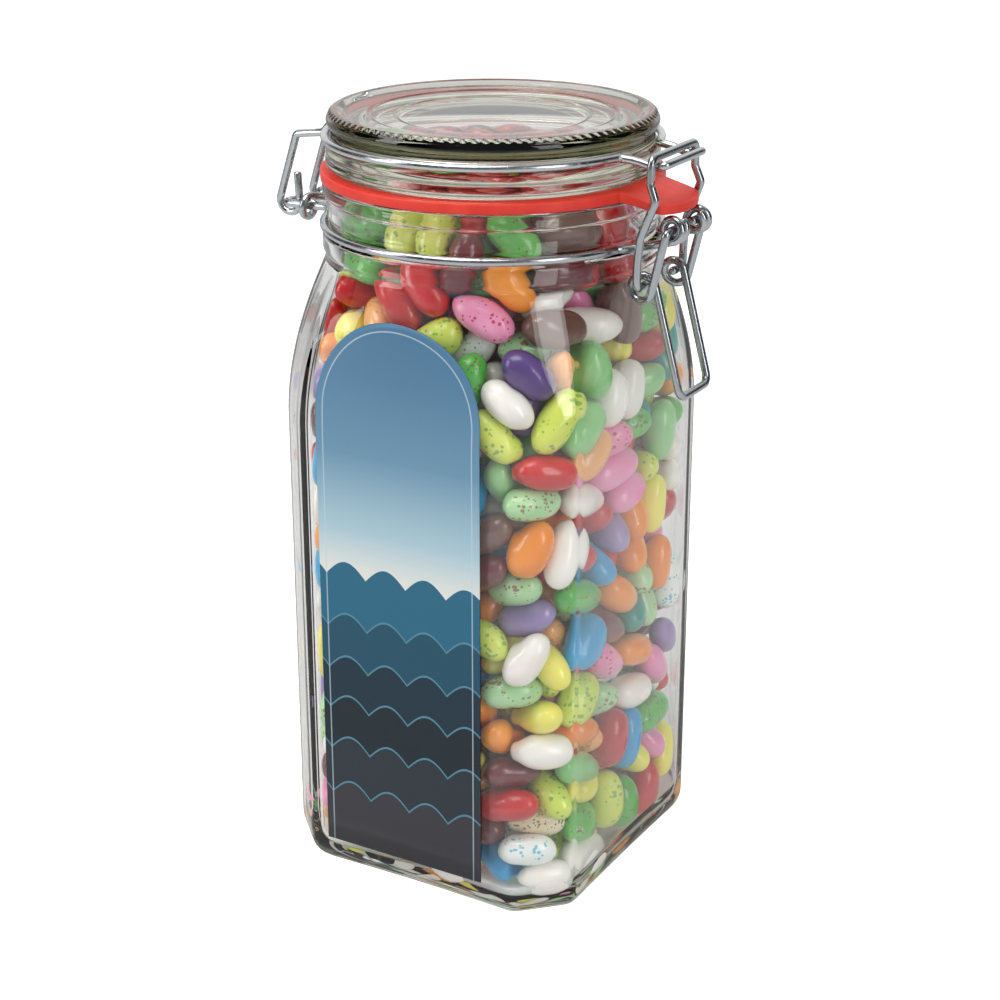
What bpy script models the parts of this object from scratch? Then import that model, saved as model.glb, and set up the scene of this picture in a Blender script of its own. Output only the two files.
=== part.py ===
"""A square clip-top glass jar, shut and filled with jelly beans.

+X is the side of the clasp, -X the side of the hinge, and the label is on the -Y face. The origin is on the
underside, in the middle. All sizes are in metres.
"""

import math

import bmesh
import bpy
import numpy as np
from mathutils import Vector

# Driving dimensions of the glass jar
BODY_HALF = 0.050  # half of the body's width across its flat sides
CORNER_LEG = 0.0135  # how far the cut-off corner runs along each side
CORNER_SHARPNESS = 90.0  # power of the blend that rounds the eight upright edges
HEEL_RADIUS = 0.009
WALL = 0.0040
BASE_THICKNESS = 0.0058
INNER_HEEL = 0.0070
SHOULDER_FOOT = 0.143
SHOULDER_TOP = 0.1915
SHOULDER_POWER = 1.86  # how late the corners draw in to the round neck
NECK_FOOT_RADIUS = 0.0487
MOUTH_RADIUS = 0.0434
RIM_HEIGHT = 0.2127
BEAD_RADIUS = 0.0498
BEAD_FOOT = 0.1932
BEAD_TOP = 0.1976
GROOVE_RADIUS = 0.0478
GROOVE_TOP = 0.2014
NECK_RADIUS = 0.0484
LIP_RADIUS = 0.0496
LIP_FOOT = 0.2088
LIP_ROUNDING = 0.0010
NECK_SLOPE = 0.0008  # height of the slope between two bands of the neck
JAR_RINGS = {"heel": 4, "outer_shoulder": 6, "inner_shoulder": 5, "inner_heel": 3}

# Driving dimensions of the lid and its rubber seal
GAP = 0.0003
SEAL_FOOT = RIM_HEIGHT + GAP
SEAL_THICKNESS = 0.0030
SEAL_INNER = 0.0443
SEAL_OUTER = 0.0500
TAB_REACH = 0.0634  # from the jar's axis to the tip of the pull tab
TAB_HALF_WIDTH = 0.0126
TAB_ROUNDING = 0.0022  # how much less far the tab reaches at its sides than at its tip
TAB_CORNER = 34.0  # power of the blend that rounds the tab's corners
TAB_ROOT = 45.0  # power of the blend that fills the tab's roots
TAB_DROOP = 0.0034
TAB_THINNING = 0.0006  # how much thinner the tab is than the ring
LID_FOOT = SEAL_FOOT + SEAL_THICKNESS + GAP
LID_TOP = 0.2330
LID_FLANGE = 0.0483
LID_FLANGE_TOP = 0.2236
LID_GROOVE = 0.0468
LID_BAND = 0.0475
LID_BAND_FOOT = 0.2289
LID_KNURL = 0.0460
LID_SLOPE = 0.0013  # height of the bevels and of the slopes between the lid's bands
LID_PLUG = 0.0428  # radius of the rim that reaches down into the seal
LID_STEPS = 36
# Radius of each point of the pressed top and its depth below the knurled rim
LID_RECESS = ((0.0240, 0.0026), (0.0280, 0.0020), (0.0345, 0.0020), (0.0360, 0.0014), (0.0425, 0.0014))
# Radius and height of each point of the hollow underside
LID_DOME = ((0.0412, 0.2150), (0.0402, 0.2200), (0.0385, 0.2257), (0.0340, 0.2272))

# Driving dimensions of the wires. A point is (x, height) or (x, y, height), on the side of -Y
WIRE = 0.0012  # radius of the wire
PITCH = 0.0027  # from one turn of a coil to the next
NECK_RING = 0.0494
NECK_RING_HEIGHT = 0.1999
EYE_CENTRE = (0.0619, 0.2060)  # the lever's pivot
EYE_RADIUS = 0.0030
EYE_SIDE = 0.0092  # y of the eye's outer turn
EYE_TURN = math.radians(500)
EYE_ARM = (0.0530, -EYE_SIDE, 0.2004)  # where the arm to the eye begins
LID_RING = 0.0485
LID_RING_HEIGHT = 0.2253
CURL_CENTRE = (0.0543, 0.1892)  # the lever's curl, where the hook hangs
CURL_RADIUS = 0.0035
LEVER_SIDE = EYE_SIDE + PITCH
LEVER_END = EYE_SIDE - 1.75 * PITCH  # y of the lever's end, past the eye's inner turn
HANDLE_FOOT = (0.0663, 0.1583)
HOOK_SIDE = LEVER_SIDE + PITCH + 0.0001
HOOK_FOOT = (CURL_CENTRE[0] + 0.0002, CURL_CENTRE[1] + 0.0006)
HOOK_LEG = (
    (0.0546, -HOOK_SIDE, 0.1970),
    (0.0553, -0.0146, 0.2042),
    (0.0580, -0.0145, 0.2110),
    (0.0596, -0.0144, 0.2150),
    (0.0577, -0.0141, 0.2195),
    (0.0578, -0.0138, 0.2264),
    (0.0578, 0.0, 0.2264),
)
NOSE = (
    (0.0470, -0.0122, LID_RING_HEIGHT),
    (0.0520, -0.0115, LID_RING_HEIGHT - 0.0004),
    (0.0568, -0.01095, 0.2236),
    (0.0584, -0.01095, 0.2236),
    (0.0612, -0.0119, 0.2246),
    (0.0612, 0.0, 0.2246),
)
HINGE_NEAR_BAR = 0.0114  # y of the hinge eye's outer bar
HINGE_FAR_BAR = 0.0058
HINGE_ROOT = -0.0500
HINGE_BEND = 0.0024
HINGE_TIP = -0.0666
HINGE_HEIGHT = 0.1995
WRAP_RADIUS = 0.0031
WRAP_TURN = math.radians(285)
WRAP_START = -0.0590
WRAP_RUN = 0.0022
WRAP_EASE = 0.35  # share of the wrap in which it opens to its full radius
HINGE_BACK = ((-0.0535, -0.0062, 0.2016), (-0.0505, -0.0036, 0.2001), (-NECK_RING, 0.0, NECK_RING_HEIGHT))
ARM_SIDE = (HINGE_NEAR_BAR + HINGE_FAR_BAR) / 2
ARM_BEND = (-0.0632, 0.2203)
ARM_ROOT = ((-0.0535, 0.2216), (-0.0505, LID_RING_HEIGHT - 0.0004), (-0.0478, LID_RING_HEIGHT))
CATCH_CENTRE = (-0.0664, 0.1996)
CATCH_RADIUS = 0.0036
CATCH_END = math.radians(368)
STUB_LENGTH = 0.0080
ARM_FILLET = 0.0016
NOSE_FILLET = 0.0014
LEVER_FILLET = 0.0014
HANDLE_FILLET = 0.0030
HOOK_FILLET = 0.0015
COIL_STEP = math.radians(32)  # angle between two points of a coil
RING_STEPS = 17  # stretches in half a ring

# Driving dimensions of the label
LABEL_LEFT = -0.0300
LABEL_RIGHT = 0.0250
LABEL_FOOT = 0.0108
LABEL_TOP = 0.1802
LABEL_THICKNESS = 0.0003
LABEL_COLUMNS = 13
LABEL_ROWS = (0.0, 0.84, 0.90, 0.95, 1.0)  # shares of the height, close together where the shoulder bends it

# Driving dimensions of the beans
BEAN_LENGTH = 0.0185
BEAN_WIDTH = 0.0112
BEAN_SIDES = 5
BEAN_SHOULDER = 0.34  # where a bean's outer rings lie, as a share of its length from its middle
BEAN_TAPER = 0.86  # radius of the outer rings as a share of the middle ring's
BEAN_BEND = 0.10  # how far its ends lean to one side, as a share of its length
BEAN_CLEARANCE = 0.0009
BEAN_COUNTS = {"wall": 98, "top": 10, "base": 10}
BEAN_DISC = 0.036  # radius of the space where the beans of the top and of the base lie
CORE_DEPTH = 0.0065  # from the glass to the core
CORE_STEPS = 20
CORE_FOOT = 0.0135
CORE_TOP = 0.2045
CORE_CROWN = 0.0080  # how much higher the core is in the middle
CORE_CROWN_RADIUS = 0.0200
HEAP_TOP = 0.2105  # where the heap meets the neck
HEAP_CROWN = 0.0105  # how much higher the heap is in the middle, under the lid
DRAWS = 60  # places tried for each bean
SEED = 7


def clear_scene():
    for obj in list(bpy.data.objects):
        bpy.data.objects.remove(obj, do_unlink=True)


def material(name, colour, roughness, metallic=0.0, transmission=0.0):
    made = bpy.data.materials.new(name)
    made.use_nodes = True
    shader = made.node_tree.nodes["Principled BSDF"]
    shader.inputs["Base Color"].default_value = (*colour, 1.0)
    shader.inputs["Roughness"].default_value = roughness
    shader.inputs["Metallic"].default_value = metallic
    shader.inputs["Transmission Weight"].default_value = transmission
    made.diffuse_color = (*colour, 1.0)
    return made


def add_object(name, data, look, sharp=math.radians(35)):
    obj = bpy.data.objects.new(name, data)
    bpy.context.scene.collection.objects.link(obj)
    data.materials.append(look)
    if obj.type == "MESH":
        data.shade_smooth()
        data.set_sharp_from_angle(angle=sharp)
    return obj


def face_outwards(mesh):
    shape = bmesh.new()
    shape.from_mesh(mesh)
    bmesh.ops.recalc_face_normals(shape, faces=shape.faces)
    shape.to_mesh(mesh)
    shape.free()


def stacked_rings(name, rings, caps=True):
    """A mesh whose rings of points are joined by quads. With caps, a fan to its own middle closes each end;
    without, the last ring joins the first."""
    rings = np.asarray(rings, float)
    count, around = rings.shape[:2]
    verts = rings.reshape(-1, 3)
    index = np.arange(count * around).reshape(count, around)
    lower, upper = (index[:-1], index[1:]) if caps else (index, np.roll(index, -1, axis=0))
    quads = np.stack([lower, np.roll(lower, -1, axis=1), np.roll(upper, -1, axis=1), upper], axis=-1)
    faces = [tuple(face) for face in quads.reshape(-1, 4)]
    if caps:
        middles = np.array([rings[0].mean(axis=0), rings[-1].mean(axis=0)])
        first, last = len(verts), len(verts) + 1
        verts = np.concatenate([verts, middles])
        faces += [(first, b, a) for a, b in zip(index[0], np.roll(index[0], -1))]
        faces += [(last, a, b) for a, b in zip(index[-1], np.roll(index[-1], -1))]
    mesh = bpy.data.meshes.new(name)
    mesh.from_pydata(verts.tolist(), [], [tuple(int(i) for i in face) for face in faces])
    face_outwards(mesh)
    return mesh


def ring_at(angle, radius, height):
    """Points round the jar's axis, at one height."""
    return np.stack([radius * np.cos(angle), radius * np.sin(angle), np.full_like(angle, height)], axis=-1)


def body_radius(angle):
    """Distance from the axis to the body's wall: eight flat sides whose meeting edges are rounded."""
    corner_distance = (2 * BODY_HALF - CORNER_LEG) / math.sqrt(2)
    total = np.zeros_like(np.asarray(angle, float))
    for side in range(8):
        distance = corner_distance if side % 2 else BODY_HALF
        facing = np.maximum(np.cos(angle - side * math.pi / 4), 0.0)
        total = total + (facing / distance) ** CORNER_SHARPNESS
    return total ** (-1 / CORNER_SHARPNESS)


def outer_radius(angle, height):
    """The outside of the glass from the heel to the foot of the neck: flat sides that turn round."""
    rise = np.clip((height - SHOULDER_FOOT) / (SHOULDER_TOP - SHOULDER_FOOT), 0.0, 1.0)
    roundness = rise**SHOULDER_POWER
    return (1 - roundness) * body_radius(angle) + roundness * NECK_FOOT_RADIUS


def inner_radius(angle, height):
    """The inside of the glass, which narrows to the mouth."""
    rise = np.clip((height - SHOULDER_FOOT) / (SHOULDER_TOP - SHOULDER_FOOT), 0.0, 1.0)
    roundness = rise**SHOULDER_POWER
    return (1 - roundness) * (body_radius(angle) - WALL) + roundness * MOUTH_RADIUS


def ring_angles():
    """Angles round the jar, close together at the upright edges."""
    quarter = np.radians([0, 11.5, 23, 34.3, 37.9, 45, 52.1, 55.7, 67, 78.5])
    return np.concatenate([quarter + turn * math.pi / 2 for turn in range(4)])


def glass_jar(look):
    angle = ring_angles()
    rings = []
    for turn in np.linspace(0, math.pi / 2, JAR_RINGS["heel"]):
        inset = HEEL_RADIUS * (1 - math.sin(turn))
        rings.append(ring_at(angle, body_radius(angle) - inset, HEEL_RADIUS * (1 - math.cos(turn))))
    for height in np.linspace(SHOULDER_FOOT, SHOULDER_TOP, JAR_RINGS["outer_shoulder"]):
        rings.append(ring_at(angle, outer_radius(angle, height), height))
    finish = [
        (BEAD_RADIUS, BEAD_FOOT),
        (BEAD_RADIUS, BEAD_TOP),
        (GROOVE_RADIUS, BEAD_TOP + NECK_SLOPE),
        (GROOVE_RADIUS, GROOVE_TOP),
        (NECK_RADIUS, GROOVE_TOP + NECK_SLOPE),
        (NECK_RADIUS, LIP_FOOT - NECK_SLOPE),
        (LIP_RADIUS, LIP_FOOT),
        (LIP_RADIUS, RIM_HEIGHT - LIP_ROUNDING),
        (LIP_RADIUS - LIP_ROUNDING, RIM_HEIGHT),
        (MOUTH_RADIUS + LIP_ROUNDING, RIM_HEIGHT),
        (MOUTH_RADIUS, RIM_HEIGHT - LIP_ROUNDING),
    ]
    rings += [ring_at(angle, radius, height) for radius, height in finish]
    for height in np.linspace(SHOULDER_TOP, SHOULDER_FOOT, JAR_RINGS["inner_shoulder"]):
        rings.append(ring_at(angle, inner_radius(angle, height), height))
    for turn in np.linspace(0, math.pi / 2, JAR_RINGS["inner_heel"]):
        inset = WALL + INNER_HEEL * (1 - math.cos(turn))
        height = BASE_THICKNESS + INNER_HEEL * (1 - math.sin(turn))
        rings.append(ring_at(angle, body_radius(angle) - inset, height))
    return add_object("glass_jar", stacked_rings("glass_jar", rings), look)


def glass_lid(look):
    """The pressed lid: rings in its top, a knurled band, a wire groove, a flange and a hollow dome."""
    profile = [(radius, LID_TOP - depth) for radius, depth in LID_RECESS]
    profile += [
        (LID_KNURL - 2 * LID_SLOPE, LID_TOP),
        (LID_KNURL, LID_TOP),
        (LID_BAND, LID_TOP - LID_SLOPE),
        (LID_BAND, LID_BAND_FOOT),
        (LID_GROOVE, LID_BAND_FOOT - LID_SLOPE),
        (LID_GROOVE, LID_FLANGE_TOP + LID_SLOPE / 2),
        (LID_FLANGE, LID_FLANGE_TOP),
        (LID_FLANGE, LID_FOOT + LID_SLOPE),
        (LID_FLANGE - LID_SLOPE, LID_FOOT),
        (LID_PLUG + LID_SLOPE, LID_FOOT),
        (LID_PLUG, LID_FOOT - LID_SLOPE),
    ]
    profile += list(LID_DOME)
    angle = np.arange(LID_STEPS) * 2 * math.pi / LID_STEPS
    rings = [ring_at(angle, radius, height) for radius, height in profile]
    return add_object("glass_lid", stacked_rings("glass_lid", rings), look)


def tab_reach(angle):
    """How far the seal reaches at an angle: the soft maximum of its ring and of a tab, which is the soft minimum
    of two straight sides and of an end that is a parabola."""
    away = np.minimum(np.abs(np.arctan2(np.sin(angle), np.cos(angle))), math.pi / 2)
    side = TAB_HALF_WIDTH / np.maximum(np.sin(away), 0.01)
    end = TAB_REACH - TAB_ROUNDING * np.minimum(TAB_REACH * np.sin(away) / TAB_HALF_WIDTH, 2.0) ** 2
    tab = (side**-TAB_CORNER + end**-TAB_CORNER) ** (-1 / TAB_CORNER)
    return (SEAL_OUTER**TAB_ROOT + tab**TAB_ROOT) ** (1 / TAB_ROOT)


def rubber_seal(look):
    """A flat ring with a thinner pull tab that droops: rings of points out along its top and back below."""
    half_tab = np.array([1.9, 5.6, 8.4, 10.3, 11.4, 12.4, 13.4, 14.4, 15.6, 17.0, 19.5])
    angle = np.radians(np.concatenate([-half_tab[::-1], half_tab, np.linspace(30, 330, 31)]))
    outer = tab_reach(angle)
    rings = []
    top = [(0.0, 0.0), (1.0, 0.0), (1.0, 0.5), (1.0, 1.0)]
    for (ring_share, tab_share), above in [(band, True) for band in top] + [(band, False) for band in top[::-1]]:
        radius = SEAL_INNER + (SEAL_OUTER - SEAL_INNER) * ring_share + (outer - SEAL_OUTER) * tab_share
        out = ((radius - SEAL_OUTER) / (TAB_REACH - SEAL_OUTER)).clip(0.0, 1.0)
        ring = ring_at(angle, radius, SEAL_FOOT)
        ring[:, 2] += SEAL_THICKNESS if above else TAB_THINNING * np.minimum(3 * out, 1.0)
        ring[:, 2] -= TAB_DROOP * out
        rings.append(ring)
    return add_object("rubber_seal", stacked_rings("rubber_seal", rings, caps=False), look)


def filleted(corners, radius, step=math.radians(24)):
    """A route through the corners, each inner one rounded by an arc of the given radius."""
    corners = [Vector(corner) for corner in corners]
    route = [corners[0]]
    for before, corner, after in zip(corners, corners[1:], corners[2:]):
        back, ahead = (before - corner).normalized(), (after - corner).normalized()
        turn = math.pi - back.angle(ahead)
        if turn < 0.02:
            route.append(corner)
            continue
        run = radius * math.tan(turn / 2)
        centre = corner + (back + ahead).normalized() * (radius / math.cos(turn / 2))
        start, end = corner + back * run - centre, corner + ahead * run - centre
        count = max(1, round(turn / step))
        for k in range(count + 1):
            share = k / count
            arm = (start * math.sin((1 - share) * turn) + end * math.sin(share * turn)) / math.sin(turn)
            route.append(centre + arm)
    route.append(corners[-1])
    return route


def wire(name, route, look, mirrored=False):
    """A bent wire: the route from its first end and, where it is mirrored, its mirror image back."""
    points = [Vector(point) for point in route]
    if mirrored:
        other = [Vector((point.x, -point.y, point.z)) for point in reversed(points)]
        points += other[1:] if (other[0] - points[-1]).length < 1e-6 else other
    curve = bpy.data.curves.new(name, "CURVE")
    curve.dimensions = "3D"
    curve.bevel_depth = WIRE
    curve.bevel_resolution = 1
    curve.use_fill_caps = True
    spline = curve.splines.new("POLY")
    spline.points.add(len(points) - 1)
    for slot, point in zip(spline.points, points):
        slot.co = (*point, 1.0)
    return add_object(name, curve, look)


def coil(centre, radius, start, end, side_start, side_end):
    """Points of a coil in a plane of x and z, whose y runs evenly from side_start to side_end."""
    share = np.linspace(0, 1, round(abs(end - start) / COIL_STEP) + 1)
    angle = start + (end - start) * share
    x, z = centre[0] + radius * np.cos(angle), centre[1] + radius * np.sin(angle)
    return [Vector(point) for point in zip(x, side_start + (side_end - side_start) * share, z)]


def half_ring(radius, height, start, end):
    return [Vector(point) for point in ring_at(np.linspace(start, end, RING_STEPS + 1), radius, height)]


def near_angle(radius, side, positive_x):
    """The angle round the axis where a ring of this radius has y = -side."""
    angle = math.asin(side / radius)
    return -angle if positive_x else -math.pi + angle


def neck_wire(look):
    """The wire round the neck: an eye of a turn and a half for the lever, half the ring, and a hinge eye bent
    out, back and once round itself; its mirror image follows on the other side."""
    down = math.radians(-90)
    inner_turn = PITCH * EYE_TURN / (2 * math.pi) - EYE_SIDE
    eye = coil(EYE_CENTRE, EYE_RADIUS, down + EYE_TURN, down, inner_turn, -EYE_SIDE)
    leave = near_angle(NECK_RING, EYE_SIDE, True) - 0.09
    arrive = near_angle(NECK_RING, HINGE_NEAR_BAR, False) + 0.07
    ring = half_ring(NECK_RING, NECK_RING_HEIGHT, leave, arrive)
    near, far = -HINGE_NEAR_BAR, -HINGE_FAR_BAR
    root = Vector((HINGE_ROOT, near, NECK_RING_HEIGHT))
    straight = [(WRAP_START + 0.0010, near, HINGE_HEIGHT), (WRAP_START - 0.0010, near, HINGE_HEIGHT)]
    out = filleted([ring[-1], root, *straight], HINGE_BEND)
    tip = (far - near) / 2
    hairpin = []
    for turn in np.linspace(0, math.pi, 7):
        x, y = HINGE_TIP + tip * (1 - math.sin(turn)), (near + far) / 2 - tip * math.cos(turn)
        hairpin.append(Vector((x, y, HINGE_HEIGHT)))
    wrap = []
    for share in np.linspace(0, 1, 11):
        turn = -share * WRAP_TURN
        radius = (far - near) + (WRAP_RADIUS - (far - near)) * min(share / WRAP_EASE, 1.0)
        y, z = near + radius * math.cos(turn), HINGE_HEIGHT + radius * math.sin(turn)
        wrap.append(Vector((WRAP_START + WRAP_RUN * share, y, z)))
    back = [Vector(point) for point in HINGE_BACK]
    route = eye + [Vector(EYE_ARM)] + ring[:-1] + out + hairpin + wrap + back
    return wire("neck_wire", route, look, mirrored=True)


def lid_wire(look):
    """The wire round the lid: a catch that hooks up through the hinge eye, an arm, half the ring and half the
    nose that the hook holds, then the mirror image of them."""
    side = -ARM_SIDE
    bend = Vector((ARM_BEND[0], side, ARM_BEND[1]))
    across = bend - Vector((CATCH_CENTRE[0], side, CATCH_CENTRE[1]))
    lean = math.atan2(across.z, across.x) + math.acos(CATCH_RADIUS / across.length)
    catch = coil(CATCH_CENTRE, CATCH_RADIUS, CATCH_END, lean, side, side)
    stub = catch[0] + (catch[0] - catch[1]).normalized() * STUB_LENGTH
    start = near_angle(LID_RING, ARM_SIDE, False) + 0.05
    end = near_angle(LID_RING, -NOSE[0][1], True) - 0.06
    ring = half_ring(LID_RING, LID_RING_HEIGHT, start, end)
    arm = [catch[-1], bend, *[(x, side, height) for x, height in ARM_ROOT], ring[0]]
    nose = filleted([ring[-1], *NOSE], NOSE_FILLET)
    route = [stub] + catch[:-1] + filleted(arm, ARM_FILLET)[:-1] + ring[:-1] + nose
    return wire("lid_wire", route, look, mirrored=True)


def tangent_angle(centre, radius, point, lower):
    """The angle on the circle where a line from the point touches it, on its +X side."""
    way = Vector((point[0] - centre[0], point[1] - centre[1]))
    reach = math.acos(radius / way.length)
    return math.atan2(way.y, way.x) + (reach if lower else -reach)


def lever(look):
    """The over-centre lever: an end through the neck wire's eye, a leg, a full curl and half the handle."""
    inner_end = Vector((EYE_CENTRE[0], -LEVER_END, EYE_CENTRE[1]))
    outer = Vector((EYE_CENTRE[0], -LEVER_SIDE, EYE_CENTRE[1]))
    start = tangent_angle(CURL_CENTRE, CURL_RADIUS, EYE_CENTRE, lower=False)
    end = tangent_angle(CURL_CENTRE, CURL_RADIUS, HANDLE_FOOT, lower=True) - 2 * math.pi
    curl = coil(CURL_CENTRE, CURL_RADIUS, start, end, -LEVER_SIDE, -EYE_SIDE)
    foot = Vector((HANDLE_FOOT[0], -EYE_SIDE, HANDLE_FOOT[1]))
    handle = filleted([curl[-1], foot, (HANDLE_FOOT[0], 0.0, HANDLE_FOOT[1])], HANDLE_FILLET)
    route = filleted([inner_end, outer, curl[0]], LEVER_FILLET)[:-1] + curl[:-1] + handle
    return wire("lever", route, look, mirrored=True)


def hook(look):
    """The bail that hangs in the lever's curls and holds the lid wire's nose down."""
    foot_x, foot_z = HOOK_FOOT
    legs = [(foot_x, 0.0010 - EYE_SIDE, foot_z), (foot_x, -HOOK_SIDE, foot_z), *HOOK_LEG]
    return wire("hook", filleted(legs, HOOK_FILLET), look, mirrored=True)


def front_face(x, height):
    """The y of the glass's front at x, found by turning towards it a few times."""
    y = np.full_like(x, -BODY_HALF)
    for _ in range(8):
        radius = outer_radius(np.arctan2(y, x), height)
        y = -np.sqrt(radius**2 - x**2)
    return y


def label(look):
    """A thin sticker with a round top that follows the front of the glass."""
    half = (LABEL_RIGHT - LABEL_LEFT) / 2
    across = np.sin(np.linspace(-math.pi / 2, math.pi / 2, LABEL_COLUMNS))
    top = LABEL_TOP - half + half * np.sqrt(np.maximum(1 - across**2, 0))
    height = LABEL_FOOT + np.outer(LABEL_ROWS, top - LABEL_FOOT)
    x = np.repeat([(LABEL_RIGHT + LABEL_LEFT) / 2 + half * across], len(LABEL_ROWS), 0)
    verts = np.stack([x, front_face(x, height) - GAP, height], axis=-1).reshape(-1, 3)
    index = np.arange(x.size).reshape(x.shape)
    quads = np.stack([index[:-1, :-1], index[:-1, 1:], index[1:, 1:], index[1:, :-1]], axis=-1).reshape(-1, 4)
    mesh = bpy.data.meshes.new("label")
    mesh.from_pydata(verts.tolist(), [], quads.tolist())
    sticker = add_object("label", mesh, look)
    thickness = sticker.modifiers.new("thickness", "SOLIDIFY")
    thickness.thickness = LABEL_THICKNESS
    thickness.offset = 1.0
    return sticker


def bean_mesh(rng, axes, centre):
    """A bean of three rings and two ends, slightly bent, turned and pushed clear of the glass."""
    length = BEAN_LENGTH * rng.uniform(0.9, 1.06)
    radius = BEAN_WIDTH / 2 * rng.uniform(1.0, 1.12)
    angle = np.arange(BEAN_SIDES) * 2 * math.pi / BEAN_SIDES
    rings = []
    for along, taper in ((-BEAN_SHOULDER, BEAN_TAPER), (0.0, 1.0), (BEAN_SHOULDER, BEAN_TAPER)):
        across = taper * radius * np.array([np.cos(angle), np.sin(angle)])
        rings.append(np.stack([np.full_like(angle, along * length), *across], axis=-1))
    points = np.concatenate(rings + [[[-length / 2, 0.0, 0.0], [length / 2, 0.0, 0.0]]])
    points[:, 1] += BEAN_BEND * length * (2 * points[:, 0] / length) ** 2
    points = points @ axes
    faces = []
    ends = (3 * BEAN_SIDES, 3 * BEAN_SIDES + 1)
    for k in range(BEAN_SIDES):
        ahead = (k + 1) % BEAN_SIDES
        for ring in (0, BEAN_SIDES):
            faces.append((ring + k, ring + BEAN_SIDES + k, ring + BEAN_SIDES + ahead, ring + ahead))
        faces.append((ends[0], k, ahead))
        faces.append((ends[1], 2 * BEAN_SIDES + ahead, 2 * BEAN_SIDES + k))
    mesh = bpy.data.meshes.new("bean")
    mesh.from_pydata((points + pushed_inside(points, centre)).tolist(), [], faces)
    face_outwards(mesh)
    return mesh


def frame_of(normal, turn):
    """Three axes: one along the surface, turned by an angle, one across it, and the normal."""
    normal = normal / np.linalg.norm(normal)
    helper = np.array([0.0, 0.0, 1.0]) if abs(normal[2]) < 0.8 else np.array([1.0, 0.0, 0.0])
    side = np.cross(helper, normal)
    side = side / np.linalg.norm(side)
    rise = np.cross(normal, side)
    along = math.cos(turn) * side + math.sin(turn) * rise
    return np.stack([along, np.cross(normal, along), normal])


def pushed_inside(points, centre):
    """Moves a bean until all its points keep their clearance to the glass."""
    for _ in range(30):
        placed = points + centre
        angle = np.arctan2(placed[:, 1], placed[:, 0])
        inset = np.clip(BASE_THICKNESS + INNER_HEEL - placed[:, 2], 0, INNER_HEEL)
        heel = INNER_HEEL - np.sqrt(INNER_HEEL**2 - inset**2)
        room = inner_radius(angle, placed[:, 2]) - BEAN_CLEARANCE - heel
        over = np.hypot(placed[:, 0], placed[:, 1]) - room
        worst = int(np.argmax(over))
        lift = BASE_THICKNESS + BEAN_CLEARANCE - placed[:, 2].min()
        if max(over[worst], lift) < 1e-5:
            break
        outward = np.array([math.cos(angle[worst]), math.sin(angle[worst]), 0.0])
        centre = centre - outward * max(over[worst], 0.0) + np.array([0.0, 0.0, max(lift, 0.0)])
    return centre


def spread(count, draw, distance):
    """Places drawn one by one, each the farthest of several from the places before it."""
    places = [draw()]
    while len(places) < count:
        choices = [draw() for _ in range(DRAWS)]
        taken = np.array(places)
        places.append(max(choices, key=lambda place: distance(taken, place).min()))
    return places


def wall_normal(angle, height):
    """The level direction out of the jar's inner wall, from two points of the wall a little to each side."""
    sides = np.array([angle - 0.004, angle + 0.004])
    before, after = ring_at(sides, inner_radius(sides, height), height)
    return np.array([after[1] - before[1], before[0] - after[0], 0.0]) / np.linalg.norm(after - before)


def bean_places(rng):
    """(centre, normal) of the beans that show: against the wall, on the base and on top of the heap."""

    def wall_draw():
        return rng.uniform(-math.pi, math.pi), rng.uniform(2 * BEAN_WIDTH, HEAP_TOP - BEAN_WIDTH)

    def wall_distance(taken, place):
        turn = np.abs(np.arctan2(np.sin(taken[:, 0] - place[0]), np.cos(taken[:, 0] - place[0])))
        return np.hypot(turn * BODY_HALF, taken[:, 1] - place[1])

    def disc_draw():
        turn, reach = rng.uniform(-math.pi, math.pi), BEAN_DISC * math.sqrt(rng.uniform(0, 1))
        return reach * math.cos(turn), reach * math.sin(turn)

    def disc_distance(taken, place):
        return np.hypot(taken[:, 0] - place[0], taken[:, 1] - place[1])

    found = []
    depth = BEAN_WIDTH / 2 + BEAN_CLEARANCE
    for angle, height in spread(BEAN_COUNTS["wall"], wall_draw, wall_distance):
        normal = wall_normal(angle, height)
        wall = ring_at(np.array([angle]), inner_radius(np.array([angle]), height), height)[0]
        found.append((wall - normal * depth, normal))
    for x, y in spread(BEAN_COUNTS["base"], disc_draw, disc_distance):
        found.append((np.array([x, y, BASE_THICKNESS + depth]), np.array([0.0, 0.0, -1.0])))
    for x, y in spread(BEAN_COUNTS["top"], disc_draw, disc_distance):
        crown = HEAP_TOP + HEAP_CROWN * (1 - (x * x + y * y) / BEAN_DISC**2)
        found.append((np.array([x, y, crown - BEAN_WIDTH / 2]), np.array([0.0, 0.0, 1.0])))
    return found


def keep_outer_shell(mesh):
    """Fills the hollows that the beans seal between them and drops loose scraps: the largest shell stays."""
    shape = bmesh.new()
    shape.from_mesh(mesh)
    waiting = set(shape.faces)
    shells = []
    while waiting:
        shell, front = set(), {waiting.pop()}
        while front:
            shell |= front
            front = {other for face in front for edge in face.edges for other in edge.link_faces} - shell
        waiting -= shell
        shells.append(shell)
    largest = max(shells, key=lambda shell: sum(face.calc_area() for face in shell))
    extra = [face for shell in shells if shell is not largest for face in shell]
    bmesh.ops.delete(shape, geom=extra, context="FACES")
    shape.to_mesh(mesh)
    shape.free()


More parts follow.
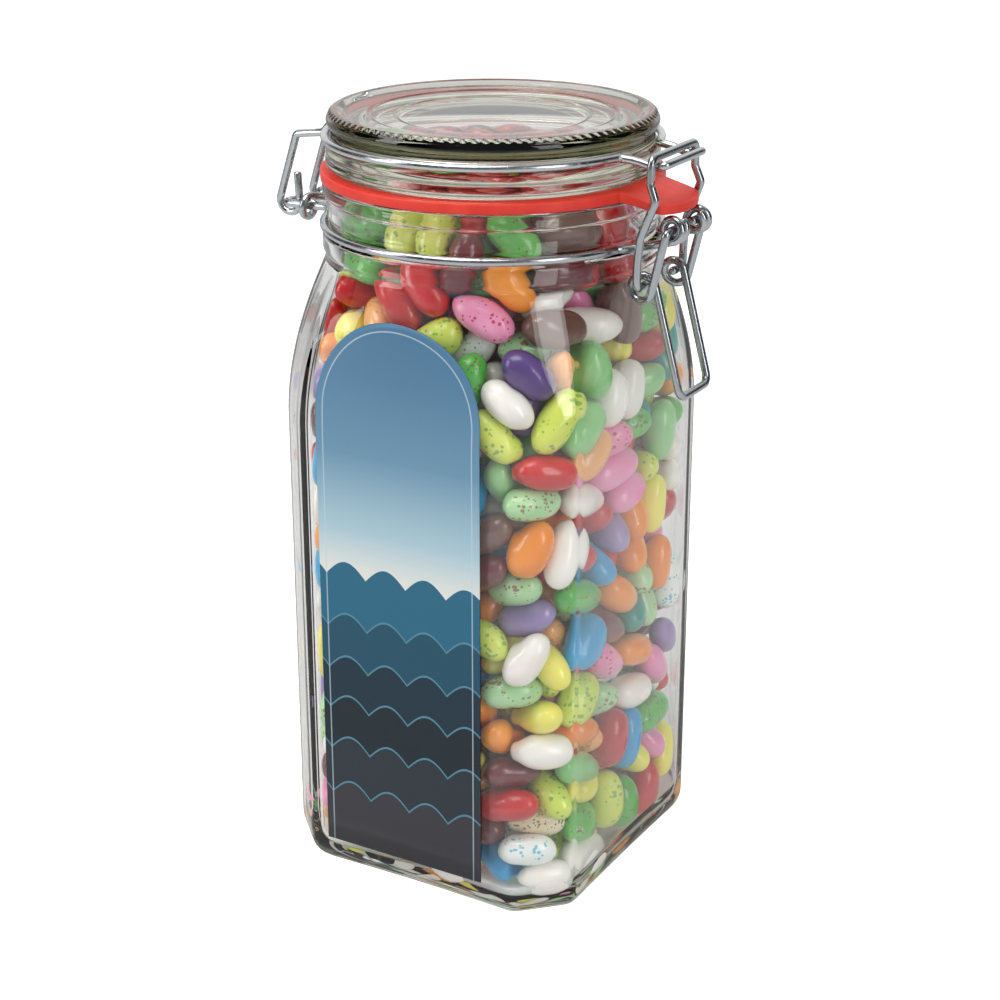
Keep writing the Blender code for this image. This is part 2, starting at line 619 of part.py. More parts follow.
def jelly_beans(look):
    """The heap: a core that follows the glass at a depth, with the beans that show fused on."""
    rng = np.random.default_rng(SEED)
    heap = bpy.data.collections.new("heap")
    bpy.context.scene.collection.children.link(heap)
    for centre, normal in bean_places(rng):
        mesh = bean_mesh(rng, frame_of(normal, rng.uniform(0, math.pi)), centre)
        heap.objects.link(bpy.data.objects.new("bean", mesh))
    angle = np.arange(CORE_STEPS) * 2 * math.pi / CORE_STEPS
    heights = [CORE_FOOT, SHOULDER_FOOT, *np.linspace(SHOULDER_FOOT, SHOULDER_TOP, 4)[1:], CORE_TOP]
    rings = [ring_at(angle, inner_radius(angle, height) - CORE_DEPTH, height) for height in heights]
    rings.append(ring_at(angle, CORE_CROWN_RADIUS + 0 * angle, CORE_TOP + CORE_CROWN))
    core = add_object("jelly_beans", stacked_rings("jelly_beans", rings), look)
    union = core.modifiers.new("beans", "BOOLEAN")
    union.operation = "UNION"
    union.operand_type = "COLLECTION"
    union.collection = heap
    union.solver = "MANIFOLD"
    graph = bpy.context.evaluated_depsgraph_get()
    fused = bpy.data.meshes.new_from_object(core.evaluated_get(graph))
    core.modifiers.clear()
    keep_outer_shell(fused)
    core.data = fused
    for obj in list(heap.objects):
        bpy.data.objects.remove(obj, do_unlink=True)
    bpy.data.collections.remove(heap)
    return core


def main():
    clear_scene()
    glass = material("clear_glass", (0.90, 0.95, 0.92), 0.02, transmission=1.0)
    steel = material("zinc_plated_wire", (0.62, 0.64, 0.66), 0.32, metallic=1.0)
    glass_jar(glass)
    glass_lid(material("pressed_lid_glass", (0.86, 0.92, 0.87), 0.03, transmission=1.0))
    rubber_seal(material("natural_rubber", (0.86, 0.045, 0.03), 0.55))
    neck_wire(steel)
    lid_wire(material("lid_wire_steel", (0.62, 0.64, 0.66), 0.32, metallic=1.0))
    lever(material("lever_steel", (0.60, 0.62, 0.64), 0.34, metallic=1.0))
    hook(material("hook_steel", (0.60, 0.62, 0.64), 0.34, metallic=1.0))
    label(material("label_paper", (0.12, 0.28, 0.42), 0.45))
    jelly_beans(material("glazed_sugar", (0.80, 0.30, 0.16), 0.25))


main()
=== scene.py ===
import math

import bpy
import numpy as np
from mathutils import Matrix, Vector


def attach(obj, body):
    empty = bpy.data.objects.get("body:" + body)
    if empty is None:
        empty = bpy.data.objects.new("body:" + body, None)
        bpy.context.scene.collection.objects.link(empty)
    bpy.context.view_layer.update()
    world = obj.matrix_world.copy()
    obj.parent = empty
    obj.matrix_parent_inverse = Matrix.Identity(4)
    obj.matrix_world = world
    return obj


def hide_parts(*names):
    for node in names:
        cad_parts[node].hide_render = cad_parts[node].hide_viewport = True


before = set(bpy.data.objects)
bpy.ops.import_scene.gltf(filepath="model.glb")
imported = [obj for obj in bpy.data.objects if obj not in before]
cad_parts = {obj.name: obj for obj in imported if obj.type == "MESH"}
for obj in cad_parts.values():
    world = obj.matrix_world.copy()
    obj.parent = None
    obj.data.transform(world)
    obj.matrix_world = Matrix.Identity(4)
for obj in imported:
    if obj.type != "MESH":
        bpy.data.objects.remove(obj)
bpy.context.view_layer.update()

LIVING_BODY = "root"

# Driving sizes of the glass jar, in metres
BODY_HALF = 0.050
CORNER_LEG = 0.0135
CORNER_DISTANCE = (2 * BODY_HALF - CORNER_LEG) / math.sqrt(2)
CORNER_SHARPNESS = 90.0
HEEL_RADIUS = 0.009
WALL = 0.0040
BASE_THICKNESS = 0.0058
INNER_HEEL = 0.0070
SHOULDER_FOOT = 0.143
SHOULDER_TOP = 0.1915
SHOULDER_POWER = 1.86
NECK_FOOT_RADIUS = 0.0487
MOUTH_RADIUS = 0.0434
RIM_HEIGHT = 0.2127

# Driving sizes of the seal and the lid
GAP = 0.0003
SEAL_FOOT = RIM_HEIGHT + GAP
SEAL_THICKNESS = 0.0030
SEAL_INNER = 0.0443
SEAL_OUTER = 0.0500
TAB_REACH = 0.0634
TAB_HALF_WIDTH = 0.0126
TAB_ROUNDING = 0.0022
TAB_CORNER = 34.0
TAB_ROOT = 45.0
TAB_DROOP = 0.0034
TAB_THINNING = 0.0006
SEAL_EDGE = 0.0004
SEAL_GRIP = GAP + 0.00008  # how far its rubber reaches into the glass that clamps it
SEAL_GRIP_RADIUS = 0.0475
LID_FOOT = SEAL_FOOT + SEAL_THICKNESS + GAP
LID_TOP = 0.2330
LID_DOME_TOP = 0.2284
LID_DOME_FALL = 0.0024
LID_DOME_RADIUS = 0.0340
KNURL_TEETH = 98
KNURL_DEPTH = 0.0006
TOOTH_STEPS = 6
TOOTH_LEAN = 420.0  # how far the teeth turn with the height, in radians of their wave to a metre
BAND_RADIUS = 0.0480
BAND_BULGE = 0.0006
BAND_MIDDLE = 0.2300
BAND_HALF_HEIGHT = 0.0016
KNURL_FOOT_RADIUS = 0.0474
KNURL_FOOT = 0.2318
KNURL_RISE = 0.0011

# Driving sizes of the wires: a point is (x, height) or (x, y, height), on the side of -Y
WIRE = 0.0012
PITCH = 0.0027
NECK_RING = 0.0494
NECK_RING_HEIGHT = 0.1999
EYE_CENTRE = (0.0619, 0.2060)
EYE_RADIUS = 0.0030
EYE_SIDE = 0.0092
EYE_TURN = math.radians(500)
EYE_ARM = (0.0530, -EYE_SIDE, 0.2004)
LID_RING = 0.0485
LID_RING_HEIGHT = 0.2253
CURL_CENTRE = (0.0543, 0.1892)
CURL_RADIUS = 0.0035
LEVER_SIDE = EYE_SIDE + PITCH
LEVER_END = EYE_SIDE - 1.75 * PITCH
HANDLE_FOOT = (0.0663, 0.1583)
HOOK_SIDE = LEVER_SIDE + PITCH + 0.0001
HOOK_FOOT = (CURL_CENTRE[0] + 0.0002, CURL_CENTRE[1] + 0.0006)
HOOK_LEG = (
    (0.0546, -HOOK_SIDE, 0.1970),
    (0.0553, -0.0146, 0.2042),
    (0.0580, -0.0145, 0.2110),
    (0.0596, -0.0144, 0.2150),
    (0.0577, -0.0141, 0.2195),
    (0.0578, -0.0138, 0.2264),
    (0.0578, 0.0, 0.2264),
)
NOSE = (
    (0.0470, -0.0122, LID_RING_HEIGHT),
    (0.0520, -0.0115, LID_RING_HEIGHT - 0.0004),
    (0.0568, -0.01095, 0.2236),
    (0.0584, -0.01095, 0.2236),
    (0.0612, -0.0119, 0.2246),
    (0.0612, 0.0, 0.2246),
)
HINGE_NEAR_BAR = 0.0114
HINGE_FAR_BAR = 0.0058
HINGE_ROOT = -0.0500
HINGE_BEND = 0.0024
HINGE_TIP = -0.0666
HINGE_HEIGHT = 0.1995
WRAP_RADIUS = 0.0031
WRAP_TURN = math.radians(285)
WRAP_START = -0.0590
WRAP_RUN = 0.0022
WRAP_EASE = 0.35
HINGE_BACK = ((-0.0535, -0.0062, 0.2016), (-0.0505, -0.0036, 0.2001), (-NECK_RING, 0.0, NECK_RING_HEIGHT))
ARM_SIDE = (HINGE_NEAR_BAR + HINGE_FAR_BAR) / 2
ARM_BEND = (-0.0632, 0.2203)
ARM_ROOT = ((-0.0535, 0.2216), (-0.0505, LID_RING_HEIGHT - 0.0004), (-0.0478, LID_RING_HEIGHT))
CATCH_CENTRE = (-0.0664, 0.1996)
CATCH_RADIUS = 0.0036
CATCH_END = math.radians(368)
STUB_LENGTH = 0.0080
COIL_STEP = math.radians(9)
FILLET_STEP = math.radians(8)
RING_STEPS = 90
WIRE_SIDES = 20

# Driving sizes of the label
LABEL_LEFT = -0.0300
LABEL_RIGHT = 0.0250
LABEL_FOOT = 0.0108
LABEL_TOP = 0.1802
LABEL_THICKNESS = 0.0003

# The label's print: (share of the height, colour)
LABEL_SKY = (
    (0.50, "#ecdcc6"),
    (0.55, "#d3d8d4"),
    (0.62, "#a4c0cc"),
    (0.76, "#668ea8"),
    (0.90, "#4f7896"),
    (1.00, "#46708f"),
)
LABEL_BANDS = (
    (0.00, "#34333a"),
    (0.10, "#262e38"),
    (0.19, "#10212c"),
    (0.27, "#0f2c3b"),
    (0.35, "#184a60"),
    (0.43, "#22627e"),
)
LABEL_HORIZON = 0.53
LABEL_CREST = "#4f7f94"
CREST_SHARE = 0.0035  # width of a crest's fine line, as a share of the label's height
LABEL_LINE = "#b9ccd6"
SCALLOP_WIDTH = 0.0138
SCALLOP_HEIGHT = 0.0046
BORDER_INSET = 0.0024
BORDER_WIDTH = 0.0004
BORDER_STRENGTH = 0.6

# Driving sizes of the beans and their heap
BEAN_LENGTH = 0.0186
BEAN_RADIUS = 0.0050
BEAN_COUNT = 870
BEAN_SIZES = (0.93, 1.07)  # least and greatest, as shares of the driving sizes
BEAN_STRETCH = (0.90, 1.06)
BEAN_SQUARENESS = 2.6
BEAN_FULLNESS = 1.05
BEAN_BEND = 0.07  # greatest bend, as a share of the length
BEAN_ROWS, BEAN_COLUMNS = 14, 22
BEAN_FALL = 3e-5
STREW_REACH = 0.062
STREW_MARGIN = 0.006
TOP_MARGIN = 0.004
PAIR_REACH = 0.0215  # beans whose middles are further apart than this can't touch
SETTLE_STEPS = 500
HEAP_TOP = 0.2105  # where it meets the neck
HEAP_CROWN = 0.0105  # how much higher it is in the middle, under the lid
CROWN_RADIUS = 0.038
SHOWN_DEPTH = 0.027  # beans whose middle lies deeper behind the glass than this are left to the core
CORE_DEPTH = 0.020
NECK_HEIGHT = 0.193  # the beans above this are of fewer kinds: greens in front, reds behind and on top
NECK_FRONT = -0.010
NECK_TOP = 0.2080
CORE_MARGIN_BELOW = 0.012
CORE_MARGIN_ABOVE = 0.018
SEED = 7


# Colour and nodes

def colour(code):
    """Linear RGBA from an sRGB hex code."""
    parts = [int(code[k : k + 2], 16) / 255 for k in (1, 3, 5)]
    linear = [part / 12.92 if part <= 0.04045 else ((part + 0.055) / 1.055) ** 2.4 for part in parts]
    return (*linear, 1.0)


def add_node(tree, kind, settings=None, links=None):
    """Adds a node. A setting is a socket's value, by name or number, or else a property; a link's value is
    the output socket that feeds the input."""
    made = tree.nodes.new(kind)
    for key, value in (settings or {}).items():
        if isinstance(key, int) or key in made.inputs:
            made.inputs[key].default_value = value
        else:
            setattr(made, key, value)
    for key, source in (links or {}).items():
        tree.links.new(source, made.inputs[key])
    return made


def new_material(name, settings):
    """A material with its Principled shader set; returns material, tree and shader."""
    made = bpy.data.materials.new(name)
    made.use_nodes = True
    tree = made.node_tree
    shader = tree.nodes["Principled BSDF"]
    for key, value in settings.items():
        shader.inputs[key].default_value = value
    return made, tree, shader


def ramp_stops(ramp, stops, interpolation="LINEAR"):
    """Sets a colour ramp's stops from (position, hex code) pairs."""
    ramp.color_ramp.interpolation = interpolation
    elements = ramp.color_ramp.elements
    while len(elements) > 1:
        elements.remove(elements[-1])
    elements[0].position, elements[0].color = stops[0][0], colour(stops[0][1])
    for position, code in stops[1:]:
        elements.new(position).color = colour(code)


def grain(tree, shader, place, scale, detail, strength, depth):
    """Fine relief: noise of a scale and detail raises the shader's normal. Returns the noise."""
    settings = {"Scale": scale, "Detail": detail}
    noise = add_node(tree, "ShaderNodeTexNoise", settings, {"Vector": place}).outputs["Fac"]
    settings = {"Strength": strength, "Distance": depth}
    bump = add_node(tree, "ShaderNodeBump", settings, {"Height": noise}).outputs[0]
    tree.links.new(bump, shader.inputs["Normal"])
    return noise


# Surfaces

def grid_faces(rows, columns, wrap_rows, wrap_columns):
    """Quads of a grid of points, whose last row or column may join the first."""
    index = np.arange(rows * columns).reshape(rows, columns)
    if wrap_rows:
        index = np.concatenate([index, index[:1]])
    if wrap_columns:
        index = np.concatenate([index, index[:, :1]], axis=1)
    return np.stack([index[:-1, :-1], index[:-1, 1:], index[1:, 1:], index[1:, :-1]], axis=-1).reshape(-1, 4)


def mesh_piece(name, points, quads, triangles, material, slot, replaced, tones=None):
    """A smooth mesh object of the given points and faces, on its body, that hides the replaced node; the slot
    is not used.
    """
    points = np.asarray(points, np.float32).reshape(-1, 3)
    quads = np.asarray(quads, np.int32).reshape(-1, 4)
    triangles = np.asarray(triangles, np.int32).reshape(-1, 3)
    mesh = bpy.data.meshes.new(name)
    mesh.vertices.add(len(points))
    mesh.vertices.foreach_set("co", points.ravel())
    mesh.loops.add(quads.size + triangles.size)
    mesh.loops.foreach_set("vertex_index", np.concatenate([quads.ravel(), triangles.ravel()]))
    mesh.polygons.add(len(quads) + len(triangles))
    starts = np.concatenate([np.arange(len(quads)) * 4, quads.size + np.arange(len(triangles)) * 3])
    mesh.polygons.foreach_set("loop_start", starts.astype(np.int32))
    mesh.update(calc_edges=True)
    mesh.validate()
    mesh.shade_smooth()
    if tones is not None:
        mesh.attributes.new("tone", "FLOAT", "POINT").data.foreach_set("value", tones.astype(np.float32))
    piece = bpy.data.objects.new(name, mesh)
    bpy.context.scene.collection.objects.link(piece)
    mesh.materials.append(material)
    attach(piece, LIVING_BODY)
    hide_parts(replaced)
    return piece


def closed_rings(rings):
    """Points and faces of stacked rings, listed upwards on the outside, whose two ends are closed by fans."""
    rows, columns = rings.shape[:2]
    points = np.concatenate([rings.reshape(-1, 3), rings[:1].mean(axis=1), rings[-1:].mean(axis=1)])
    quads = grid_faces(rows, columns, False, True)
    ahead = np.roll(np.arange(columns), -1)
    first, last = rows * columns, rows * columns + 1
    base = (rows - 1) * columns
    foot = np.stack([np.full(columns, first), ahead, np.arange(columns)], axis=-1)
    head = np.stack([np.full(columns, last), base + np.arange(columns), base + ahead], axis=-1)
    return points, quads, np.concatenate([foot, head])


def rounded_profile(corners, radius, steps=5):
    """A profile through 2-D corners, each inner one replaced by a quadratic curve that starts and ends a
    radius away from it, or nearly half of the side where that is shorter."""
    corners = np.asarray(corners, float)
    before, here, after = corners[:-2], corners[1:-1], corners[2:]
    back, ahead = before - here, after - here
    back_length = np.linalg.norm(back, axis=1, keepdims=True)
    ahead_length = np.linalg.norm(ahead, axis=1, keepdims=True)
    cut = np.minimum(radius, 0.48 * np.minimum(back_length, ahead_length))
    start, end = here + back / back_length * cut, here + ahead / ahead_length * cut
    t = np.linspace(0, 1, steps)[None, :, None]
    curve = (1 - t) ** 2 * start[:, None] + 2 * t * (1 - t) * here[:, None] + t**2 * end[:, None]
    return np.concatenate([corners[:1], curve.reshape(-1, corners.shape[1]), corners[-1:]])


# The glass jar

def body_radius(angle):
    """Distance from the axis to the body's wall: the soft minimum, as a power sum, of the distances to eight
    planes."""
    total = 0.0
    for side in range(8):
        distance = CORNER_DISTANCE if side % 2 else BODY_HALF
        facing = np.maximum(np.cos(angle - side * math.pi / 4), 0.0)
        total = total + (facing / distance) ** CORNER_SHARPNESS
    return total ** (-1 / CORNER_SHARPNESS)


def roundness(height):
    """Nothing below the shoulder, 1 above it, and a power of the height between."""
    rise = np.clip((height - SHOULDER_FOOT) / (SHOULDER_TOP - SHOULDER_FOOT), 0.0, 1.0)
    return rise**SHOULDER_POWER


def outer_radius(angle, height):
    """The outer wall: the body's outline passes into the neck's circle by the roundness of the height."""
    return (1 - roundness(height)) * body_radius(angle) + roundness(height) * NECK_FOOT_RADIUS


def inner_radius(angle, height):
    """The inner wall: the body's outline less the wall passes into the mouth's circle in the same way."""
    return (1 - roundness(height)) * (body_radius(angle) - WALL) + roundness(height) * MOUTH_RADIUS


def jar_angles():
    """Angles round the jar: even steps, drawn together towards the eight upright edges."""
    edge = math.radians(36.0)
    before, after = edge - 0.09, edge + 0.07
    quarter = np.concatenate([np.linspace(0, before, 12)[:-1], np.linspace(before, after, 14)])
    half = np.concatenate([quarter[:-1], np.linspace(after, math.pi / 4, 5)])
    whole_quarter = np.concatenate([half[:-1], (math.pi / 2 - half[::-1])[:-1]])
    return np.concatenate([whole_quarter + turn * math.pi / 2 for turn in range(4)])


def glass_jar(material):
    """Rings up the outside and down the inside. A ring's radius is a blend of the eight-sided body, less an
    inset, and of a circle, by the roundness of its height."""
    angle = jar_angles()[None, :]
    rows = []  # (inset from the body's wall, roundness, radius of the circle, height)
    foot = rounded_profile([(0.046, 0.0014), (0.030, 0.0010), (0.0165, 0.0), (0.0125, 0.0)], 0.004)
    rows += [(inset, 0.0, 0.0, height) for inset, height in foot]
    for turn in np.linspace(math.radians(10), math.pi / 2, 12):
        rows.append((HEEL_RADIUS * (1 - math.sin(turn)), 0.0, 0.0, HEEL_RADIUS * (1 - math.cos(turn))))
    upwards = np.linspace(SHOULDER_FOOT, SHOULDER_TOP, 26)
    for height in np.concatenate([np.linspace(0.02, 0.135, 8), upwards]):
        rows.append((0.0, float(roundness(height)), NECK_FOOT_RADIUS, height))
    neck = [
        (NECK_FOOT_RADIUS, SHOULDER_TOP),
        (0.0498, 0.1931),
        (0.0498, 0.1977),
        (0.0478, 0.1985),
        (0.0478, 0.2013),
        (0.0484, 0.2021),
        (0.0484, 0.2078),
        (0.0496, 0.2088),
        (0.0496, RIM_HEIGHT - 0.0002),
        (0.0485, RIM_HEIGHT),
        (MOUTH_RADIUS + 0.0010, RIM_HEIGHT),
        (MOUTH_RADIUS, RIM_HEIGHT - 0.0010),
        (MOUTH_RADIUS, SHOULDER_TOP),
    ]
    rows += [(0.0, 1.0, radius, height) for radius, height in rounded_profile(neck, 0.0008)[1:-1]]
    downwards = np.linspace(SHOULDER_TOP, SHOULDER_FOOT, 24)
    for height in np.concatenate([downwards, np.linspace(0.135, 0.02, 8)]):
        rows.append((WALL, float(roundness(height)), MOUTH_RADIUS, height))
    for turn in np.linspace(0.06, math.pi / 2, 10):
        inset = WALL + INNER_HEEL * (1 - math.cos(turn))
        rows.append((inset, 0.0, 0.0, BASE_THICKNESS + INNER_HEEL * (1 - math.sin(turn))))
    for inset, height in ((0.020, BASE_THICKNESS + 0.0004), (0.034, BASE_THICKNESS + 0.0010)):
        rows.append((inset, 0.0, 0.0, height))
    inset, share, circle, height = (np.array(column)[:, None] for column in zip(*rows))
    radius = (1 - share) * (body_radius(angle) - inset) + share * circle
    rings = np.stack([radius * np.cos(angle), radius * np.sin(angle), height + 0 * angle], axis=-1)
    return mesh_piece("jar_of_pressed_glass", *closed_rings(rings), material, "jar_glass", "glass_jar")


# The lid

def glass_lid(material):
    """A profile of (radius, height) turned about the axis. The band below the knurl bulges by the square of
    its height. Between the knurl's foot and crest the radius is cut back by teeth: a rectified sine of the
    angle, leaning with the height as pressed teeth do."""
    out = np.linspace(0.001, LID_DOME_RADIUS, 16)
    dome = np.stack([out, LID_DOME_TOP - LID_DOME_FALL * (out / LID_DOME_RADIUS) ** 2], axis=1)
    under = [
        dome[-1],
        (0.0385, 0.2248),
        (0.0402, 0.2200),
        (0.0412, 0.2152),
        (0.0428, 0.2150),
        (0.0440, LID_FOOT),
        (0.0470, LID_FOOT),
        (0.0484, LID_FOOT + 0.0013),
        (0.0485, 0.2191),
        (0.0480, 0.2201),
        (0.0484, 0.2212),
        (0.0483, 0.2234),
        (0.0470, 0.2242),
        (0.0466, 0.2268),
        (0.0470, 0.2280),
    ]
    top = [
        (0.0459, LID_TOP - 0.0001),
        (0.0450, LID_TOP),
        (0.0436, LID_TOP - 0.0006),
        (0.0425, LID_TOP - 0.0015),
        (0.0362, LID_TOP - 0.0015),
        (0.0356, LID_TOP - 0.0021),
        (0.0350, LID_TOP - 0.0018),
        (0.0286, LID_TOP - 0.0020),
        (0.0280, LID_TOP - 0.0026),
        (0.0274, LID_TOP - 0.0023),
        (0.0010, LID_TOP - 0.0025),
    ]
    rise = np.linspace(-1.0, 1.0, 11)
    band = np.stack([BAND_RADIUS - BAND_BULGE * rise**2, BAND_MIDDLE + BAND_HALF_HEIGHT * rise], axis=1)
    lower = np.concatenate([dome[:-1], rounded_profile(under, 0.0009, 4), band])
    upper = rounded_profile(top, 0.0008, 4)
    bevel = np.linspace(0.0, 1.0, 9)
    knurl = np.stack([KNURL_FOOT_RADIUS - KNURL_RISE * bevel**2, KNURL_FOOT + KNURL_RISE * bevel], axis=1)
    profile = np.concatenate([lower, knurl, upper])
    depth = np.zeros(len(profile))
    depth[len(lower) : len(lower) + len(knurl)] = np.sin(bevel * math.pi) ** 0.6
    columns = KNURL_TEETH * TOOTH_STEPS
    angle = np.arange(columns) * 2 * math.pi / columns
    lean = np.where(depth > 0, profile[:, 1] - LID_TOP, 0.0) * TOOTH_LEAN
    tooth = np.abs(np.sin(angle[None, :] * KNURL_TEETH / 2 + lean[:, None]))
    radius = profile[:, :1] - KNURL_DEPTH * depth[:, None] * (1 - tooth)
    height = profile[:, 1:] + 0 * radius
    rings = np.stack([radius * np.cos(angle), radius * np.sin(angle), height], axis=-1)
    return mesh_piece("lid_of_pressed_glass", *closed_rings(rings), material, "lid_glass", "glass_lid")


# The seal

def tab_reach(angle):
    """Radius of the seal's edge: the soft maximum of a circle and of a tab, which is the soft minimum of two
    straight sides and of an end that is a parabola."""
    away = np.minimum(np.abs(np.arctan2(np.sin(angle), np.cos(angle))), math.pi / 2)
    side = TAB_HALF_WIDTH / np.maximum(np.sin(away), 0.01)
    end = TAB_REACH - TAB_ROUNDING * np.minimum(TAB_REACH * np.sin(away) / TAB_HALF_WIDTH, 2.0) ** 2
    tab = (side**-TAB_CORNER + end**-TAB_CORNER) ** (-1 / TAB_CORNER)
    return (SEAL_OUTER**TAB_ROOT + tab**TAB_ROOT) ** (1 / TAB_ROOT)


def rubber_seal(material):
    """A bar's section carried round the axis. Its outer side follows the tab, where the bar thins and droops
    in proportion to the reach; each edge is rounded by a quarter of a circle. Where lid and jar clamp it, the
    rubber reaches just into both, so that the glass takes its colour there."""
    tab, rest = np.linspace(-0.45, 0.45, 241), np.linspace(0.45, 2 * math.pi - 0.45, 281)
    angle = np.concatenate([tab[:-1], rest[:-1]])
    turn = np.linspace(0, math.pi / 2, 4)
    outer_edge = [(1.0, SEAL_EDGE * (math.sin(t) - 1), SEAL_EDGE * (math.cos(t) - 1)) for t in turn]
    inner_edge = [(0.0, SEAL_EDGE * (1 - math.cos(t)), SEAL_EDGE * (math.sin(t) - 1)) for t in turn]
    flat = [(share, 0.0, 0.0) for share in np.linspace(0.09, 0.91, 10)]
    top = inner_edge + flat + outer_edge  # (share of the way out, shift out, shift up)
    share, out, up = (np.array(column)[:, None] for column in zip(*top))
    reach = tab_reach(angle)[None, :]
    radius = SEAL_INNER + (reach - SEAL_INNER) * share + out
    away = np.clip((radius - SEAL_OUTER) / (TAB_REACH - SEAL_OUTER), 0.0, 1.0)
    grip = SEAL_GRIP * np.clip((SEAL_GRIP_RADIUS - radius) / SEAL_EDGE, 0.0, 1.0)
    upper = SEAL_FOOT + SEAL_THICKNESS + up - TAB_DROOP * away + grip
    lower = SEAL_FOOT - up + TAB_THINNING * np.minimum(3 * away, 1.0) - TAB_DROOP * away - grip
    halves = [np.stack([radius * np.cos(angle), radius * np.sin(angle), z], axis=-1) for z in (upper, lower)]
    points = np.concatenate([halves[0], halves[1][::-1]])
    quads = grid_faces(*points.shape[:2], True, True)[:, ::-1]
    return mesh_piece("seal_of_red_rubber", points, quads, [], material, "seal_rubber", "rubber_seal")


# The wires

def filleted(corners, radius):
    """A route through the corners, each inner one rounded by an arc of the given radius."""
    corners = [Vector(corner) for corner in corners]
    route = [corners[0]]
    for before, corner, after in zip(corners, corners[1:], corners[2:]):
        back, ahead = (before - corner).normalized(), (after - corner).normalized()
        turn = math.pi - back.angle(ahead)
        if turn < 0.02:
            route.append(corner)
            continue
        room = 0.49 * min((before - corner).length, (after - corner).length)
        reach = min(radius * math.tan(turn / 2), room)
        bend = reach / math.tan(turn / 2)
        centre = corner + (back + ahead).normalized() * (bend / math.cos(turn / 2))
        start, end = corner + back * reach - centre, corner + ahead * reach - centre
        count = max(1, round(turn / FILLET_STEP))
        for k in range(count + 1):
            share = k / count
            arm = (start * math.sin((1 - share) * turn) + end * math.sin(share * turn)) / math.sin(turn)
            route.append(centre + arm)
    route.append(corners[-1])
    return route


def coil(centre, radius, start, end, side_start, side_end):
    """Points of a coil in a plane of x and z, whose y runs evenly from side_start to side_end."""
    share = np.linspace(0, 1, round(abs(end - start) / COIL_STEP) + 1)
    angle = start + (end - start) * share
    x, z = centre[0] + radius * np.cos(angle), centre[1] + radius * np.sin(angle)
    return [Vector(point) for point in zip(x, side_start + (side_end - side_start) * share, z)]


def half_ring(radius, height, start, end):
    """Points of an arc round the axis at one height, in even steps of the angle."""
    angle = np.linspace(start, end, RING_STEPS + 1)
    x, y = radius * np.cos(angle), radius * np.sin(angle)
    return [Vector(point) for point in zip(x, y, height + 0 * angle)]


def near_angle(radius, side, positive_x):
    """The angle round the axis where a ring of this radius has y = -side."""
    angle = math.asin(side / radius)
    return -angle if positive_x else -math.pi + angle


def tangent_angle(centre, radius, point, lower):
    """The angle on the circle where a line from the point touches it, on its +X side."""
    way = Vector((point[0] - centre[0], point[1] - centre[1]))
    reach = math.acos(radius / way.length)
    return math.atan2(way.y, way.x) + (reach if lower else -reach)


def wire(name, route, material, slot, node):
    """A round section carried along the route and its mirror image: each ring lies across the tangent, its
    axes passed on from ring to ring without twist, and both ends close in a small dome."""
    points = np.array([tuple(point) for point in route])
    points = np.concatenate([points, (points * [1, -1, 1])[::-1]])
    keep = np.linalg.norm(np.diff(points, axis=0), axis=1) > 5e-5
    points = points[np.concatenate([[True], keep])]
    soft = points.copy()
    soft[1:-1] = (points[:-2] + 2 * points[1:-1] + points[2:]) / 4
    tangent = np.gradient(soft, axis=0)
    tangent /= np.linalg.norm(tangent, axis=1, keepdims=True)
    normals = [np.cross(tangent[0], [0.31, 0.55, 0.77])]
    for way in tangent[1:]:
        normals.append(normals[-1] - way * (normals[-1] @ way))
    normal = np.array(normals)
    normal /= np.linalg.norm(normal, axis=1, keepdims=True)
    across = np.cross(tangent, normal)
    swell = np.ones(len(soft))
    dome = np.array([0.45, 0.80, 0.96])
    soft = np.concatenate([soft[:1].repeat(3, 0), soft, soft[-1:].repeat(3, 0)])
    step_back = WIRE * np.array([0.55, 0.40, 0.18])
    soft[:3] -= tangent[:1] * step_back[:, None]
    soft[-3:] += tangent[-1:] * step_back[::-1, None]
    swell = np.concatenate([dome, swell, dome[::-1]])
    normal = np.concatenate([normal[:1].repeat(3, 0), normal, normal[-1:].repeat(3, 0)])
    across = np.concatenate([across[:1].repeat(3, 0), across, across[-1:].repeat(3, 0)])
    angle = np.arange(WIRE_SIDES) * 2 * math.pi / WIRE_SIDES
    ring = np.cos(angle)[None, :, None] * normal[:, None] + np.sin(angle)[None, :, None] * across[:, None]
    rings = soft[:, None] + WIRE * swell[:, None, None] * ring
    return mesh_piece(name, *closed_rings(rings), material, slot, node)


